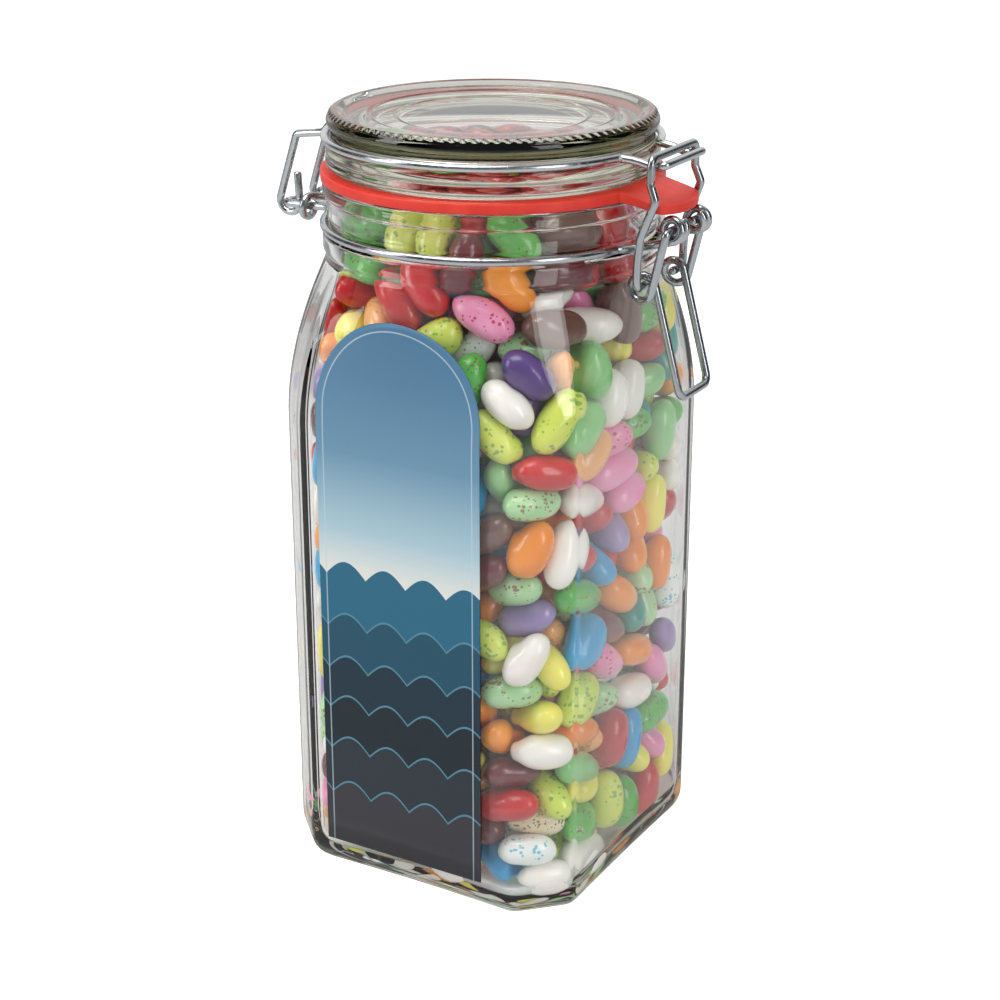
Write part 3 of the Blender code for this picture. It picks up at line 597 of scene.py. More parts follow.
def neck_wire_route():
    """An eye of a turn and a half for the lever, half the ring, and a hinge eye bent out, back and once round
    itself."""
    down = math.radians(-90)
    inner_turn = PITCH * EYE_TURN / (2 * math.pi) - EYE_SIDE
    eye = coil(EYE_CENTRE, EYE_RADIUS, down + EYE_TURN, down, inner_turn, -EYE_SIDE)
    leave = near_angle(NECK_RING, EYE_SIDE, True) - 0.09
    arrive = near_angle(NECK_RING, HINGE_NEAR_BAR, False) + 0.07
    ring = half_ring(NECK_RING, NECK_RING_HEIGHT, leave, arrive)
    near, far = -HINGE_NEAR_BAR, -HINGE_FAR_BAR
    root = Vector((HINGE_ROOT, near, NECK_RING_HEIGHT))
    straight = [(WRAP_START + 0.0010, near, HINGE_HEIGHT), (WRAP_START - 0.0010, near, HINGE_HEIGHT)]
    out = filleted([ring[-1], root, *straight], HINGE_BEND)
    tip = (far - near) / 2
    hairpin = []
    for turn in np.linspace(0, math.pi, 19):
        x, y = HINGE_TIP + tip * (1 - math.sin(turn)), (near + far) / 2 - tip * math.cos(turn)
        hairpin.append(Vector((x, y, HINGE_HEIGHT)))
    wrap = []
    for share in np.linspace(0, 1, 34):
        turn = -share * WRAP_TURN
        radius = (far - near) + (WRAP_RADIUS - (far - near)) * min(share / WRAP_EASE, 1.0)
        y, z = near + radius * math.cos(turn), HINGE_HEIGHT + radius * math.sin(turn)
        wrap.append(Vector((WRAP_START + WRAP_RUN * share, y, z)))
    back = filleted([wrap[-1], *HINGE_BACK], 0.004)[1:]
    arm = filleted([eye[-1], EYE_ARM, ring[0], ring[1]], 0.006)[1:-1]
    return eye + arm + ring[1:-1] + out[1:] + hairpin + wrap + back


def lid_wire_route():
    """A catch that hooks up through the hinge eye, an arm, half the ring and half the nose."""
    side = -ARM_SIDE
    bend = Vector((ARM_BEND[0], side, ARM_BEND[1]))
    across = bend - Vector((CATCH_CENTRE[0], side, CATCH_CENTRE[1]))
    lean = math.atan2(across.z, across.x) + math.acos(CATCH_RADIUS / across.length)
    catch = coil(CATCH_CENTRE, CATCH_RADIUS, CATCH_END, lean, side, side)
    stub = catch[0] + (catch[0] - catch[1]).normalized() * STUB_LENGTH
    start = near_angle(LID_RING, ARM_SIDE, False) + 0.05
    end = near_angle(LID_RING, -NOSE[0][1], True) - 0.06
    ring = half_ring(LID_RING, LID_RING_HEIGHT, start, end)
    arm = [catch[-1], bend, *[(x, side, height) for x, height in ARM_ROOT], ring[0]]
    nose = filleted([ring[-1], *NOSE], 0.0018)
    return [stub] + catch[:-1] + filleted(arm, 0.0016)[:-1] + ring[:-1] + nose


def lever_route():
    """An end through the neck wire's eye, a leg, a full curl and half the handle."""
    inner_end = Vector((EYE_CENTRE[0], -LEVER_END, EYE_CENTRE[1]))
    outer = Vector((EYE_CENTRE[0], -LEVER_SIDE, EYE_CENTRE[1]))
    start = tangent_angle(CURL_CENTRE, CURL_RADIUS, EYE_CENTRE, lower=False)
    end = tangent_angle(CURL_CENTRE, CURL_RADIUS, HANDLE_FOOT, lower=True) - 2 * math.pi
    curl = coil(CURL_CENTRE, CURL_RADIUS, start, end, -LEVER_SIDE, -EYE_SIDE)
    foot = Vector((HANDLE_FOOT[0], -EYE_SIDE, HANDLE_FOOT[1]))
    handle = filleted([curl[-1], foot, (HANDLE_FOOT[0], 0.0, HANDLE_FOOT[1])], 0.0030)
    return filleted([inner_end, outer, curl[0]], 0.0014)[:-1] + curl[:-1] + handle


def hook_route():
    """A foot through the lever's curl, a kinked leg and half of the bar over the lid wire's nose."""
    foot_x, foot_z = HOOK_FOOT
    legs = [(foot_x, 0.0010 - EYE_SIDE, foot_z), (foot_x, -HOOK_SIDE, foot_z), *HOOK_LEG]
    return filleted(legs, 0.0022)


# The label

def label(material):
    """A sheet laid on the glass: a grid in x and in shares of the height under a round top, whose front and
    back are joined round the rim."""
    half = (LABEL_RIGHT - LABEL_LEFT) / 2
    across = np.sin(np.linspace(-math.pi / 2, math.pi / 2, 61))
    top = LABEL_TOP - half + half * np.sqrt(np.maximum(1 - across**2, 0))
    share = np.concatenate([np.linspace(0, 0.74, 12), np.linspace(0.76, 1.0, 28)])
    height = LABEL_FOOT + np.outer(share, top - LABEL_FOOT)
    x = np.repeat([(LABEL_RIGHT + LABEL_LEFT) / 2 + half * across], len(share), 0)
    y = np.full_like(x, -BODY_HALF)
    for _ in range(8):
        y = -np.sqrt(outer_radius(np.arctan2(y, x), height) ** 2 - x**2)
    back = np.stack([x, y - 0.00004, height], axis=-1)
    front = np.stack([x, y - LABEL_THICKNESS - 0.0002, height], axis=-1)
    count = x.size
    quads = grid_faces(*x.shape, False, False)
    index = np.arange(count).reshape(x.shape)
    rim = np.concatenate([index[0, :-1], index[:-1, -1], index[-1, :0:-1], index[:0:-1, 0]])
    rim_quads = np.stack([rim, np.roll(rim, -1), np.roll(rim, -1) + count, rim + count], axis=-1)
    faces = np.concatenate([quads[:, ::-1], quads + count, rim_quads])
    points = np.concatenate([back.reshape(-1, 3), front.reshape(-1, 3)])
    return mesh_piece("label_of_coated_paper", points, faces, [], material, "label_paper", "label")


# The beans

def nearest_shares(p, d, q, e):
    """Shares s and t along the segments p + s d and q + t e where these come nearest to each other."""
    r = p - q
    a, b, c = (d * d).sum(1), (d * e).sum(1), (e * e).sum(1)
    f, g = (d * r).sum(1), (e * r).sum(1)
    s = np.clip((b * g - c * f) / np.maximum(a * c - b * b, 1e-12), 0, 1)
    t = np.clip((b * s + g) / c, 0, 1)
    return np.clip((b * t - f) / a, 0, 1), t


def kept_in_jar(ends, reach):
    """Moves the ends of the beans' axes back until each is its bean's radius from the walls, base and lid."""
    for side in range(8):
        distance = (CORNER_DISTANCE if side % 2 else BODY_HALF) - WALL
        out = np.array([math.cos(side * math.pi / 4), math.sin(side * math.pi / 4)])
        ends[:, :2] -= np.maximum(ends[:, :2] @ out - (distance - reach), 0)[:, None] * out
    turn = np.arctan2(ends[:, 1], ends[:, 0])
    slope = (inner_radius(turn, ends[:, 2] + 0.001) - inner_radius(turn, ends[:, 2] - 0.001)) / 0.002
    lean = np.sqrt(1 + slope**2)
    over = np.hypot(ends[:, 0], ends[:, 1]) - (inner_radius(turn, ends[:, 2]) - reach * lean)
    over = np.where(ends[:, 2] > SHOULDER_FOOT, np.maximum(over, 0), 0)
    out = np.stack([np.cos(turn), np.sin(turn), -slope], axis=1) / lean[:, None]
    ends -= (over / lean)[:, None] * out
    crown = HEAP_CROWN * np.maximum(1 - (ends[:, 0] ** 2 + ends[:, 1] ** 2) / CROWN_RADIUS**2, 0)
    ends[:, 2] = np.clip(ends[:, 2], BASE_THICKNESS + reach, HEAP_TOP + crown - reach)
    return ends


def settled_beans():
    """Beans strewn in the jar and shaken down: each is a segment with a radius; overlapping pairs push their
    nearest points half of the overlap apart, all sink a little, and the walls push back."""
    rng = np.random.default_rng(SEED)
    size = rng.uniform(*BEAN_SIZES, BEAN_COUNT)
    reach = BEAN_RADIUS * size
    length = BEAN_LENGTH * size * rng.uniform(*BEAN_STRETCH, BEAN_COUNT) - 2 * reach
    lowest, highest = BASE_THICKNESS + STREW_MARGIN, HEAP_TOP + HEAP_CROWN - TOP_MARGIN
    height = rng.uniform(lowest, highest, BEAN_COUNT * 3)
    angle = rng.uniform(-math.pi, math.pi, BEAN_COUNT * 3)
    out = np.sqrt(rng.uniform(0, 1, BEAN_COUNT * 3)) * STREW_REACH
    kept = np.nonzero(out < inner_radius(angle, height) - STREW_MARGIN)[0][:BEAN_COUNT]
    middle = np.stack([out * np.cos(angle), out * np.sin(angle), height], axis=1)[kept]
    way = rng.normal(size=(BEAN_COUNT, 3))
    for step in range(SETTLE_STEPS + 1):
        way /= np.linalg.norm(way, axis=1, keepdims=True)
        half = way * length[:, None] / 2
        ends = np.stack([middle - half, middle + half], axis=1)
        if step == SETTLE_STEPS:
            break
        if step % 10 == 0:
            apart = np.linalg.norm(middle[:, None] - middle[None], axis=2)
            one, two = np.nonzero(np.triu(apart < PAIR_REACH, 1))
        ends[:, :, 2] -= BEAN_FALL * (1 - step / SETTLE_STEPS)
        p, q = ends[one, 0], ends[two, 0]
        d, e = ends[one, 1] - p, ends[two, 1] - q
        s, t = nearest_shares(p, d, q, e)
        gap = (p + s[:, None] * d) - (q + t[:, None] * e)
        distance = np.linalg.norm(gap, axis=1) + 1e-9
        over = reach[one] + reach[two] - distance
        hit = over > 0
        push = gap[hit] / distance[hit, None] * (over[hit, None] / 2)
        move, touches = np.zeros_like(ends), np.ones(BEAN_COUNT)
        for who, share, sign in ((one[hit], s[hit], 1), (two[hit], t[hit], -1)):
            weight = sign / ((1 - share) ** 2 + share**2)
            np.add.at(move[:, 0], who, push * ((1 - share) * weight)[:, None])
            np.add.at(move[:, 1], who, push * (share * weight)[:, None])
            np.add.at(touches, who, 0.5)
        ends += move / np.sqrt(touches)[:, None, None]
        ends = kept_in_jar(ends.reshape(-1, 3), np.repeat(reach, 2)).reshape(-1, 2, 3)
        middle, way = ends.mean(axis=1), ends[:, 1] - ends[:, 0]
    return middle, way, reach, length + 2 * reach, rng


def bean_rings(middle, way, reach, length, rng):
    """Rings of many beans at once. Along a bean u runs from -1 to 1, and the radius is the square root of 1
    less a power of u; the middle line bends by the square of u, and slow sines of u and the angle dent it."""
    count = len(middle)
    u = -np.cos(np.linspace(0.0, math.pi, BEAN_ROWS + 2)[1:-1])[None, :, None]
    v = (np.arange(BEAN_COLUMNS) * 2 * math.pi / BEAN_COLUMNS)[None, None, :]
    draw = rng.uniform(0, 1, (8, count))[:, :, None, None]
    swell = (1 - np.abs(u) ** BEAN_SQUARENESS) ** 0.5 * (1 + 0.05 * (draw[0] - 0.5) * u)
    oval = 0.02 * np.sin(2 * v + 6.3 * draw[1] + 2.0 * u)
    dents = 0.015 * np.sin(3 * v + 6.3 * draw[2] - 3 * u)
    swell = swell * (1 + oval + dents)
    radius = swell * (reach * BEAN_FULLNESS)[:, None, None]
    bend = BEAN_BEND * draw[3] ** 2 * length[:, None, None] * (u**2 - 0.35)
    along = u * (length / 2)[:, None, None] + 0 * v
    side = radius * np.cos(v) * (0.97 + 0.05 * draw[4]) + bend
    up = radius * np.sin(v) * (0.93 + 0.05 * draw[5])
    helper = rng.normal(size=(count, 3))
    first = np.cross(way, helper)
    first /= np.linalg.norm(first, axis=1, keepdims=True)
    second = np.cross(way, first)
    axes = [axis[:, None, None, :] for axis in (way, first, second)]
    rings = along[..., None] * axes[0] + side[..., None] * axes[1] + up[..., None] * axes[2]
    ends = []
    for sign in (-1, 1):
        lift = 0.65 * BEAN_BEND * draw[3, :, 0, 0] ** 2 * length
        tip = sign * way * length[:, None] / 2 + first * lift[:, None]
        ends.append(middle + tip)
    return rings + middle[:, None, None, :], np.stack(ends, axis=1)


def joined_beans(name, rings, ends, tone, material):
    """One mesh of all beans of a kind, with a tone between 0 and 1 on each bean's points."""
    count, rows, columns = rings.shape[:3]
    each = rows * columns + 2
    points = np.concatenate([rings.reshape(count, -1, 3), ends], axis=1)
    quads = grid_faces(rows, columns, False, True)
    ahead = np.roll(np.arange(columns), -1)
    base = (rows - 1) * columns
    foot = np.stack([np.full(columns, each - 2), ahead, np.arange(columns)], axis=-1)
    head = np.stack([np.full(columns, each - 1), base + np.arange(columns), base + ahead], axis=-1)
    shift = (np.arange(count) * each)[:, None, None]
    fans = np.concatenate([foot, head]) + shift
    tones = np.repeat(tone, each)
    return mesh_piece(name, points, quads + shift, fans, material, "bean_glaze", "jelly_beans", tones)


# Kinds of bean: name, share of all, shell colour, second colour, speckle colour or none, speckle size in mm
BEAN_KINDS = (
    ("cherry_red", 1.9, "#d8141c", "#b40a14", None, 0.0),
    ("deep_maroon", 0.35, "#7a1420", "#571018", None, 0.0),
    ("lemon_yellow", 1.2, "#f3e96a", "#ece45c", None, 0.0),
    ("lime_yellow_speckled", 0.9, "#dfe56a", "#c9db55", "#7fa84a", 0.5),
    ("milk_white", 2.0, "#f4f0ea", "#ece6e0", None, 0.0),
    ("white_blue_speckled", 0.5, "#f0f1ee", "#e6ebea", "#52b7cf", 0.4),
    ("mint_speckled", 0.8, "#b9dcae", "#9ccf92", "#8f5f4e", 0.42),
    ("leaf_green", 0.9, "#6cc05a", "#4fae48", "#6d5a2c", 0.35),
    ("pale_green", 0.5, "#9bd091", "#83c27a", None, 0.0),
    ("sky_blue", 0.6, "#14a4d8", "#0b93cc", None, 0.0),
    ("sea_teal", 0.45, "#0d9f92", "#068679", None, 0.0),
    ("orange", 1.0, "#f59a24", "#ee861a", None, 0.0),
    ("peach_orange", 0.5, "#f7b878", "#f2a75e", "#cf8a4a", 0.4),
    ("candy_pink", 0.7, "#ec9cc3", "#e688b5", None, 0.0),
    ("pink_red_speckled", 0.5, "#efa6c8", "#e67fab", "#b81a3c", 0.45),
    ("lilac", 0.3, "#a593c0", "#8f7bb0", None, 0.0),
    ("plum_purple", 0.2, "#5b3f86", "#4a3070", None, 0.0),
    ("cocoa_brown", 0.45, "#77544a", "#644439", None, 0.0),
    ("vanilla_speckled", 0.35, "#e6d9bb", "#dccba6", "#6d5a44", 0.35),
)
FRONT_KINDS = ("leaf_green", "deep_maroon", "lime_yellow_speckled", "cocoa_brown", "leaf_green", "orange")
WARM_KINDS = ("cherry_red", "deep_maroon", "cherry_red", "pink_red_speckled")
CELLS_TO_FLECK = 3.2  # width of a cell that holds a fleck, in widths of the fleck


def glazed_sugar(name, base, second, speckle, speckle_mm):
    """Panned sugar shell polished with wax: a soft, faintly mottled colour under a thin clear gloss, a little
    light carried inside, and on some kinds flecks of another colour."""
    made, tree, shader = new_material(
        "glazed_sugar_" + name,
        {
            "Roughness": 0.30,
            "Coat Weight": 0.8,
            "Coat Roughness": 0.08,
            "IOR": 1.48,
            "Subsurface Weight": 0.12,
            "Subsurface Radius": (1.0, 0.8, 0.7),
            "Subsurface Scale": 0.0015,
        },
    )
    place = add_node(tree, "ShaderNodeTexCoord").outputs["Object"]
    tone = add_node(tree, "ShaderNodeAttribute", {"attribute_name": "tone"}).outputs["Fac"]
    cloud = {"Scale": 140.0, "Detail": 3.0}
    mottle = add_node(tree, "ShaderNodeTexNoise", cloud, {"Vector": place}).outputs["Fac"]
    soft = {"From Min": 0.35, "From Max": 0.65}
    share = add_node(tree, "ShaderNodeMapRange", soft, {"Value": mottle}).outputs[0]
    joined = {"operation": "MULTIPLY_ADD", 1: 0.6}
    both = add_node(tree, "ShaderNodeMath", joined, {0: share, 2: tone}).outputs[0]
    shades = {"data_type": "RGBA", "clamp_factor": True, 6: colour(base), 7: colour(second)}
    mix = add_node(tree, "ShaderNodeMix", shades, {0: both}).outputs[2]
    if speckle:
        # Flecks are the hearts of cells, wider where a slow noise is high and none where it is low
        cells = {"Scale": 1000 / (speckle_mm * CELLS_TO_FLECK), "Randomness": 1.0}
        fleck = add_node(tree, "ShaderNodeTexVoronoi", cells, {"Vector": place}).outputs["Distance"]
        slow = {"Scale": 260.0, "Detail": 1.0}
        patch = add_node(tree, "ShaderNodeTexNoise", slow, {"Vector": place}).outputs["Fac"]
        widths = {"From Min": 0.36, "From Max": 0.62, "To Min": 0.0, "To Max": 0.42}
        edge = add_node(tree, "ShaderNodeMapRange", widths, {"Value": patch}).outputs[0]
        below = {"operation": "LESS_THAN"}
        inside = add_node(tree, "ShaderNodeMath", below, {0: fleck, 1: edge}).outputs[0]
        weaker = {"operation": "MULTIPLY", 1: 0.85}
        faint = add_node(tree, "ShaderNodeMath", weaker, {0: inside}).outputs[0]
        over = {"data_type": "RGBA", 7: colour(speckle)}
        mix = add_node(tree, "ShaderNodeMix", over, {0: faint, 6: mix}).outputs[2]
    tree.links.new(mix, shader.inputs["Base Color"])
    grain(tree, shader, place, 900.0, 2.0, 0.12, 0.0002)
    return made


def bean_heap():
    """The beans near the glass, the base and the top, as one piece for each kind."""
    middle, way, reach, length, rng = settled_beans()
    x, y, height = middle.T
    behind = inner_radius(np.arctan2(y, x), height) - np.hypot(x, y)
    depth = np.minimum(np.minimum(behind, height - BASE_THICKNESS), HEAP_TOP - TOP_MARGIN - height)
    rings, ends = bean_rings(middle, way, reach, length, rng)
    shares = np.array([kind[1] for kind in BEAN_KINDS])
    kinds = rng.choice(len(BEAN_KINDS), size=len(middle), p=shares / shares.sum())
    names = [kind[0] for kind in BEAN_KINDS]
    in_neck = height > NECK_HEIGHT
    in_front = (y < NECK_FRONT) & (height < NECK_TOP)
    for few, place in ((FRONT_KINDS, in_neck & in_front), (WARM_KINDS, in_neck & ~in_front)):
        kinds = np.where(place, rng.choice([names.index(name) for name in few], size=len(middle)), kinds)
    tones = rng.uniform(0, 0.7, len(middle))
    for number, (name, _, base, second, speckle, speckle_mm) in enumerate(BEAN_KINDS):
        chosen = (kinds == number) & (depth < SHOWN_DEPTH)
        material = glazed_sugar(name, base, second, speckle, speckle_mm)
        joined_beans("beans_" + name, rings[chosen], ends[chosen], tones[chosen], material)


def sugar_core():
    """A closed body inside the heap that follows the jar's inner wall at a depth, drawn in by a high power of
    the height at both ends and roughened by slow sines. Its mottling stands for the beans in its shade."""
    angle = (np.arange(96) * 2 * math.pi / 96)[None, :]
    height = np.linspace(BASE_THICKNESS + CORE_MARGIN_BELOW, HEAP_TOP - CORE_MARGIN_ABOVE, 60)[:, None]
    rough = 0.0012 * np.sin(11 * angle + 260 * height) * np.sin(190 * height - 5 * angle)
    drawn_in = 1 - 0.25 * (np.linspace(-1, 1, 60)[:, None]) ** 8
    radius = (inner_radius(angle, height) - CORE_DEPTH) * drawn_in + rough
    rings = np.stack([radius * np.cos(angle), radius * np.sin(angle), height + 0 * angle], axis=-1)
    made, tree, shader = new_material("sugar_shadow_core", {"Roughness": 0.6})
    place = add_node(tree, "ShaderNodeTexCoord").outputs["Object"]
    cells = add_node(tree, "ShaderNodeTexVoronoi", {"Scale": 90.0}, {"Vector": place}).outputs["Color"]
    shaded = {"data_type": "RGBA", "blend_type": "MULTIPLY", 0: 0.6, 6: colour("#d9b39c")}
    mottled = add_node(tree, "ShaderNodeMix", shaded, {7: cells}).outputs[2]
    tree.links.new(mottled, shader.inputs["Base Color"])
    return mesh_piece("heap_core", *closed_rings(rings), made, "bean_glaze", "jelly_beans")


# Finishes

def pressed_glass(name, tint, density, ripple, passing):
    """Pressed soda-lime glass, IOR 1.52: clear and colourless face on, tinted through its length, with slow
    ripples from the mould. Rays that only carry light pass straight through, so that the contents are lit."""
    clear_glass = {"Base Color": (1, 1, 1, 1), "Roughness": 0.0, "IOR": 1.52, "Transmission Weight": 1.0}
    made, tree, shader = new_material(name, clear_glass)
    place = add_node(tree, "ShaderNodeTexCoord").outputs["Object"]
    grain(tree, shader, place, 55.0, 1.5, ripple, 0.001)
    path = add_node(tree, "ShaderNodeLightPath").outputs
    either = {0: path["Is Shadow Ray"], 1: path["Is Diffuse Ray"]}
    light = add_node(tree, "ShaderNodeMath", {"operation": "MAXIMUM"}, either).outputs[0]
    clear = add_node(tree, "ShaderNodeBsdfTransparent", {"Color": colour(passing)}).outputs[0]
    parts = {0: light, 1: shader.outputs[0], 2: clear}
    mixed = add_node(tree, "ShaderNodeMixShader", None, parts).outputs[0]
    body = {"Color": colour(tint), "Density": density}
    inside = add_node(tree, "ShaderNodeVolumeAbsorption", body).outputs[0]
    out = tree.nodes["Material Output"]
    tree.links.new(mixed, out.inputs["Surface"])
    tree.links.new(inside, out.inputs["Volume"])
    return made


def zinc_wire(name, base):
    """Bright zinc-plated spring steel: drawn wire, so fine scuffs and small dull specks break its shine."""
    made, tree, shader = new_material(name, {"Metallic": 1.0})
    place = add_node(tree, "ShaderNodeTexCoord").outputs["Object"]
    scuffs = grain(tree, shader, place, 700.0, 4.0, 0.15, 0.0001)
    shine = {"From Min": 0.3, "From Max": 0.7, "To Min": 0.13, "To Max": 0.30}
    rough = add_node(tree, "ShaderNodeMapRange", shine, {"Value": scuffs}).outputs[0]
    tree.links.new(rough, shader.inputs["Roughness"])
    fine = {"Scale": 260.0, "Detail": 5.0, "Roughness": 0.6}
    specks = add_node(tree, "ShaderNodeTexNoise", fine, {"Vector": place}).outputs["Fac"]
    few = {"From Min": 0.64, "From Max": 0.76}
    dull = add_node(tree, "ShaderNodeMapRange", few, {"Value": specks}).outputs[0]
    shades = {"data_type": "RGBA", 6: colour(base), 7: colour("#6f7377")}
    mix = add_node(tree, "ShaderNodeMix", shades, {0: dull}).outputs[2]
    tree.links.new(mix, shader.inputs["Base Color"])
    return made


def natural_rubber():
    """Moulded natural rubber, orange-red and satin, with a faint grain and a dusty bloom in patches."""
    satin = {"Roughness": 0.48, "IOR": 1.52, "Subsurface Weight": 0.08, "Subsurface Scale": 0.001}
    made, tree, shader = new_material("moulded_natural_rubber", satin)
    place = add_node(tree, "ShaderNodeTexCoord").outputs["Object"]
    patches = {"Scale": 180.0, "Detail": 3.0}
    bloom = add_node(tree, "ShaderNodeTexNoise", patches, {"Vector": place}).outputs["Fac"]
    dusty = {"From Min": 0.4, "From Max": 0.75}
    share = add_node(tree, "ShaderNodeMapRange", dusty, {"Value": bloom}).outputs[0]
    shades = {"data_type": "RGBA", 6: colour("#d4281a"), 7: colour("#de3a27")}
    mix = add_node(tree, "ShaderNodeMix", shades, {0: share}).outputs[2]
    tree.links.new(mix, shader.inputs["Base Color"])
    grain(tree, shader, place, 2200.0, 2.0, 0.2, 0.0001)
    return made


def printed_paper():
    """Coated paper printed in fields: a sky that pales downwards to cream, then scalloped bands of teal, navy
    and slate whose crests have a fine pale line, all inside a thin pale border. Satin, with a fine tooth."""
    made, tree, shader = new_material("satin_coated_paper", {"Roughness": 0.38, "Specular IOR Level": 0.35})
    place = add_node(tree, "ShaderNodeTexCoord").outputs["Object"]
    split = add_node(tree, "ShaderNodeSeparateXYZ", None, {0: place})
    across, height = split.outputs[0], split.outputs[2]
    waves = {"operation": "MULTIPLY", 1: math.pi / SCALLOP_WIDTH}
    wave_at = add_node(tree, "ShaderNodeMath", waves, {0: across}).outputs[0]
    sine = add_node(tree, "ShaderNodeMath", {"operation": "SINE"}, {0: wave_at}).outputs[0]
    scallop = add_node(tree, "ShaderNodeMath", {"operation": "ABSOLUTE"}, {0: sine}).outputs[0]
    lift = {"operation": "MULTIPLY_ADD", 1: -SCALLOP_HEIGHT}
    lifted = add_node(tree, "ShaderNodeMath", lift, {0: scallop, 2: height}).outputs[0]
    whole = {"From Min": LABEL_FOOT, "From Max": LABEL_TOP}
    sky = add_node(tree, "ShaderNodeMapRange", whole, {"Value": height}).outputs[0]
    sky_ramp = add_node(tree, "ShaderNodeValToRGB", None, {0: sky})
    ramp_stops(sky_ramp, LABEL_SKY)
    sea = add_node(tree, "ShaderNodeMapRange", whole, {"Value": lifted}).outputs[0]
    sea_ramp = add_node(tree, "ShaderNodeValToRGB", None, {0: sea})
    lines = [(top - CREST_SHARE, LABEL_CREST) for top, _ in LABEL_BANDS[1:]]
    ramp_stops(sea_ramp, sorted([*LABEL_BANDS, *lines]), "CONSTANT")
    below = {"operation": "LESS_THAN", 1: LABEL_HORIZON}
    is_sea = add_node(tree, "ShaderNodeMath", below, {0: sea}).outputs[0]
    fields = {0: is_sea, 6: sky_ramp.outputs[0], 7: sea_ramp.outputs[0]}
    mix = add_node(tree, "ShaderNodeMix", {"data_type": "RGBA"}, fields).outputs[2]
    half = (LABEL_RIGHT - LABEL_LEFT) / 2
    middle = (LABEL_RIGHT + LABEL_LEFT) / 2
    less = {"operation": "SUBTRACT", 1: middle}
    side = add_node(tree, "ShaderNodeMath", less, {0: across}).outputs[0]
    less = {"operation": "SUBTRACT", 1: LABEL_TOP - half}
    above = add_node(tree, "ShaderNodeMath", less, {0: height}).outputs[0]
    rise = add_node(tree, "ShaderNodeMath", {"operation": "MAXIMUM", 1: 0.0}, {0: above}).outputs[0]
    arm = add_node(tree, "ShaderNodeCombineXYZ", None, {0: side, 1: rise}).outputs[0]
    out = add_node(tree, "ShaderNodeVectorMath", {"operation": "LENGTH"}, {0: arm}).outputs["Value"]
    near = {"operation": "COMPARE", 1: half - BORDER_INSET, 2: BORDER_WIDTH / 2}
    border = add_node(tree, "ShaderNodeMath", near, {0: out}).outputs[0]
    weaker = {"operation": "MULTIPLY", 1: BORDER_STRENGTH}
    faint = add_node(tree, "ShaderNodeMath", weaker, {0: border}).outputs[0]
    line = {"data_type": "RGBA", 7: colour(LABEL_LINE)}
    mix = add_node(tree, "ShaderNodeMix", line, {0: faint, 6: mix}).outputs[2]
    tree.links.new(mix, shader.inputs["Base Color"])
    grain(tree, shader, place, 2600.0, 2.0, 0.06, 0.0001)
    return made


# Camera, lights and floor

CAMERA_TARGET = Vector((0.00173, 0.00101, 0.11202))
CAMERA_AZIMUTH = math.radians(30.27)
CAMERA_ELEVATION = math.radians(21.04)
CAMERA_DISTANCE = 0.65833
CAMERA_LENS = 77.2
FILL_LEVEL = 0.72
ROOM_DARKEST = 0.18
ROOM_PALEST = 0.92
CARD_SHADE = 0.08
FLOOR_GLOW = 0.8
FLOOR_REACH = 4.0


def camera():
    """The view: a lens at an azimuth, an elevation and a distance from its target, turned towards it."""
    away = Vector((
        math.sin(CAMERA_AZIMUTH) * math.cos(CAMERA_ELEVATION),
        -math.cos(CAMERA_AZIMUTH) * math.cos(CAMERA_ELEVATION),
        math.sin(CAMERA_ELEVATION),
    ))
    made = bpy.data.objects.new("camera", bpy.data.cameras.new("camera"))
    made.data.lens = CAMERA_LENS
    made.data.clip_start = 0.01
    made.location = CAMERA_TARGET + away * CAMERA_DISTANCE
    made.rotation_euler = (-away).to_track_quat("-Z", "Y").to_euler()
    bpy.context.scene.collection.objects.link(made)
    bpy.context.scene.camera = made


def softbox(name, place, target, width, height, power):
    """A rectangular lamp at a place, turned towards its target; its power is in watts."""
    lamp = bpy.data.lights.new(name, "AREA")
    lamp.shape, lamp.size, lamp.size_y, lamp.energy = "RECTANGLE", width, height, power
    made = bpy.data.objects.new(name, lamp)
    made.location = place
    made.rotation_euler = (Vector(target) - Vector(place)).to_track_quat("-Z", "Y").to_euler()
    bpy.context.scene.collection.objects.link(made)


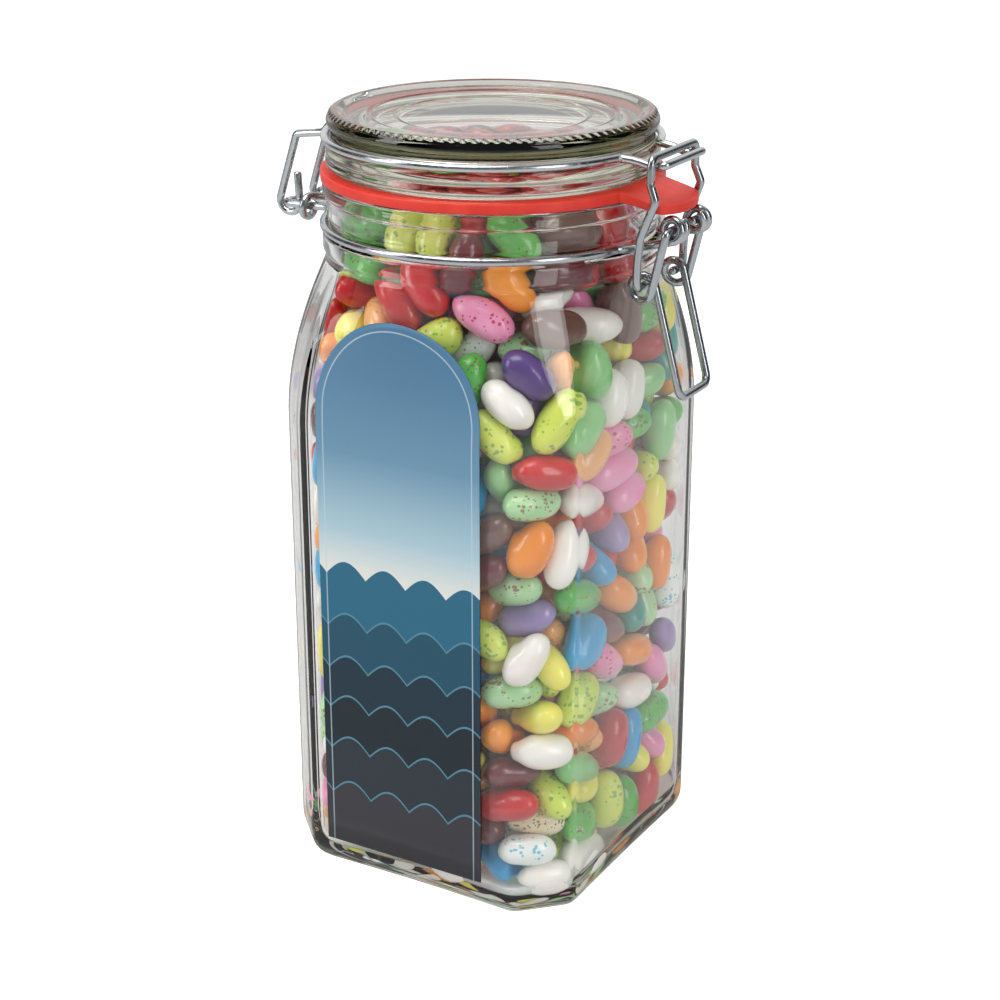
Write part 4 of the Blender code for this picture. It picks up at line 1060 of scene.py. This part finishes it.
def studio():
    """A white sweep and a pale floor under even light, with softboxes above and to the sides. Glass and wire
    mirror a plainer room: pale ahead, darker behind the camera and at both hands, to draw their edges."""
    softbox("softbox_top", (-0.15, -0.25, 0.95), (0.0, 0.0, 0.1), 0.7, 0.5, 5.0)
    softbox("softbox_left", (-0.75, -0.75, 0.55), (0.0, 0.0, 0.12), 0.35, 0.7, 3.2)
    softbox("softbox_right", (0.9, -0.35, 0.5), (0.0, 0.0, 0.12), 0.3, 0.7, 2.2)
    world = bpy.data.worlds.new("sweep")
    bpy.context.scene.world = world
    world.use_nodes = True
    tree = world.node_tree
    way = add_node(tree, "ShaderNodeTexCoord").outputs["Generated"]
    up = add_node(tree, "ShaderNodeSeparateXYZ", None, {0: way}).outputs[2]
    # The backdrop stands ahead of the camera; dark cards stand at the view's right and left hand
    ahead = (-math.sin(CAMERA_AZIMUTH), math.cos(CAMERA_AZIMUTH), 0.0)
    right = (math.cos(CAMERA_AZIMUTH), math.sin(CAMERA_AZIMUTH), 0.0)
    facing = add_node(tree, "ShaderNodeVectorMath", {"operation": "DOT_PRODUCT", 1: ahead}, {0: way})
    sweep = {"From Min": -0.3, "From Max": 0.7, "To Min": ROOM_DARKEST, "To Max": ROOM_PALEST}
    bright = add_node(tree, "ShaderNodeMapRange", sweep, {"Value": facing.outputs["Value"]}).outputs[0]
    hand = {"operation": "DOT_PRODUCT", 1: right}
    dot = add_node(tree, "ShaderNodeVectorMath", hand, {0: way}).outputs["Value"]
    side = add_node(tree, "ShaderNodeMath", {"operation": "ABSOLUTE"}, {0: dot}).outputs[0]
    width = {"From Min": 0.50, "From Max": 0.75}
    card = add_node(tree, "ShaderNodeMapRange", width, {"Value": side}).outputs[0]
    low = add_node(tree, "ShaderNodeMapRange", {"From Min": 0.8, "From Max": 0.6}, {"Value": up}).outputs[0]
    both = add_node(tree, "ShaderNodeMath", {"operation": "MULTIPLY"}, {0: card, 1: low}).outputs[0]
    shades = {"To Min": 1.0, "To Max": CARD_SHADE}
    shade = add_node(tree, "ShaderNodeMapRange", shades, {"Value": both}).outputs[0]
    room = add_node(tree, "ShaderNodeMath", {"operation": "MULTIPLY"}, {0: bright, 1: shade}).outputs[0]
    # Rays that light the object meet an even level, mirrored rays the room, and the camera plain white
    path = add_node(tree, "ShaderNodeLightPath").outputs
    level = {"data_type": "FLOAT", 2: FILL_LEVEL}
    lit = add_node(tree, "ShaderNodeMix", level, {0: path["Is Glossy Ray"], 3: room}).outputs[0]
    white = {"data_type": "FLOAT", 3: 1.0}
    strength = add_node(tree, "ShaderNodeMix", white, {0: path["Is Camera Ray"], 2: lit}).outputs[0]
    background = tree.nodes["Background"]
    background.inputs["Color"].default_value = (1, 1, 1, 1)
    tree.links.new(strength, background.inputs["Strength"])
    matte = {"Base Color": (0.6, 0.6, 0.6, 1), "Roughness": 0.9, "Specular IOR Level": 0.0}
    floor_material, floor_tree, shader = new_material("matte_white_sweep", matte)
    shader.inputs["Emission Color"].default_value = (1, 1, 1, 1)
    seen = add_node(floor_tree, "ShaderNodeLightPath").outputs["Is Camera Ray"]
    levels = {"To Min": 0.0, "To Max": FLOOR_GLOW}
    glow = add_node(floor_tree, "ShaderNodeMapRange", levels, {"Value": seen}).outputs[0]
    floor_tree.links.new(glow, shader.inputs["Emission Strength"])
    mesh = bpy.data.meshes.new("floor")
    corners = [(FLOOR_REACH * x, FLOOR_REACH * y, 0) for x, y in ((-1, -1), (1, -1), (1, 1), (-1, 1))]
    mesh.from_pydata(corners, [], [(0, 1, 2, 3)])
    mesh.materials.append(floor_material)
    floor = bpy.data.objects.new("floor", mesh)
    bpy.context.scene.collection.objects.link(floor)
    # The even light also comes from below, as from a glowing table
    floor.visible_shadow = False
    floor.visible_diffuse = False
    bpy.context.scene.view_settings.view_transform = "Standard"
    # Light reaches the contents straight through the glass, so caustics would count it twice
    bpy.context.scene.cycles.caustics_refractive = False
    bpy.context.scene.cycles.caustics_reflective = False


# The whole object

camera()
studio()
glass_jar(pressed_glass("pressed_soda_lime_glass", "#cfd3c6", density=9.0, ripple=0.03, passing="#fdfefd"))
glass_lid(pressed_glass("pressed_lid_glass", "#a6ab64", density=34.0, ripple=0.02, passing="#dcdccb"))
rubber_seal(natural_rubber())
for piece, route, shade in (
    ("neck_wire", neck_wire_route(), "#bcc0c4"),
    ("lid_wire", lid_wire_route(), "#c4c8cb"),
    ("lever", lever_route(), "#b6bbbf"),
    ("hook", hook_route(), "#b6bbbf"),
):
    wire(piece + "_of_zinc_steel", route, zinc_wire("zinc_" + piece, shade), piece + "_steel", piece)
label(printed_paper())
bean_heap()
sugar_core()
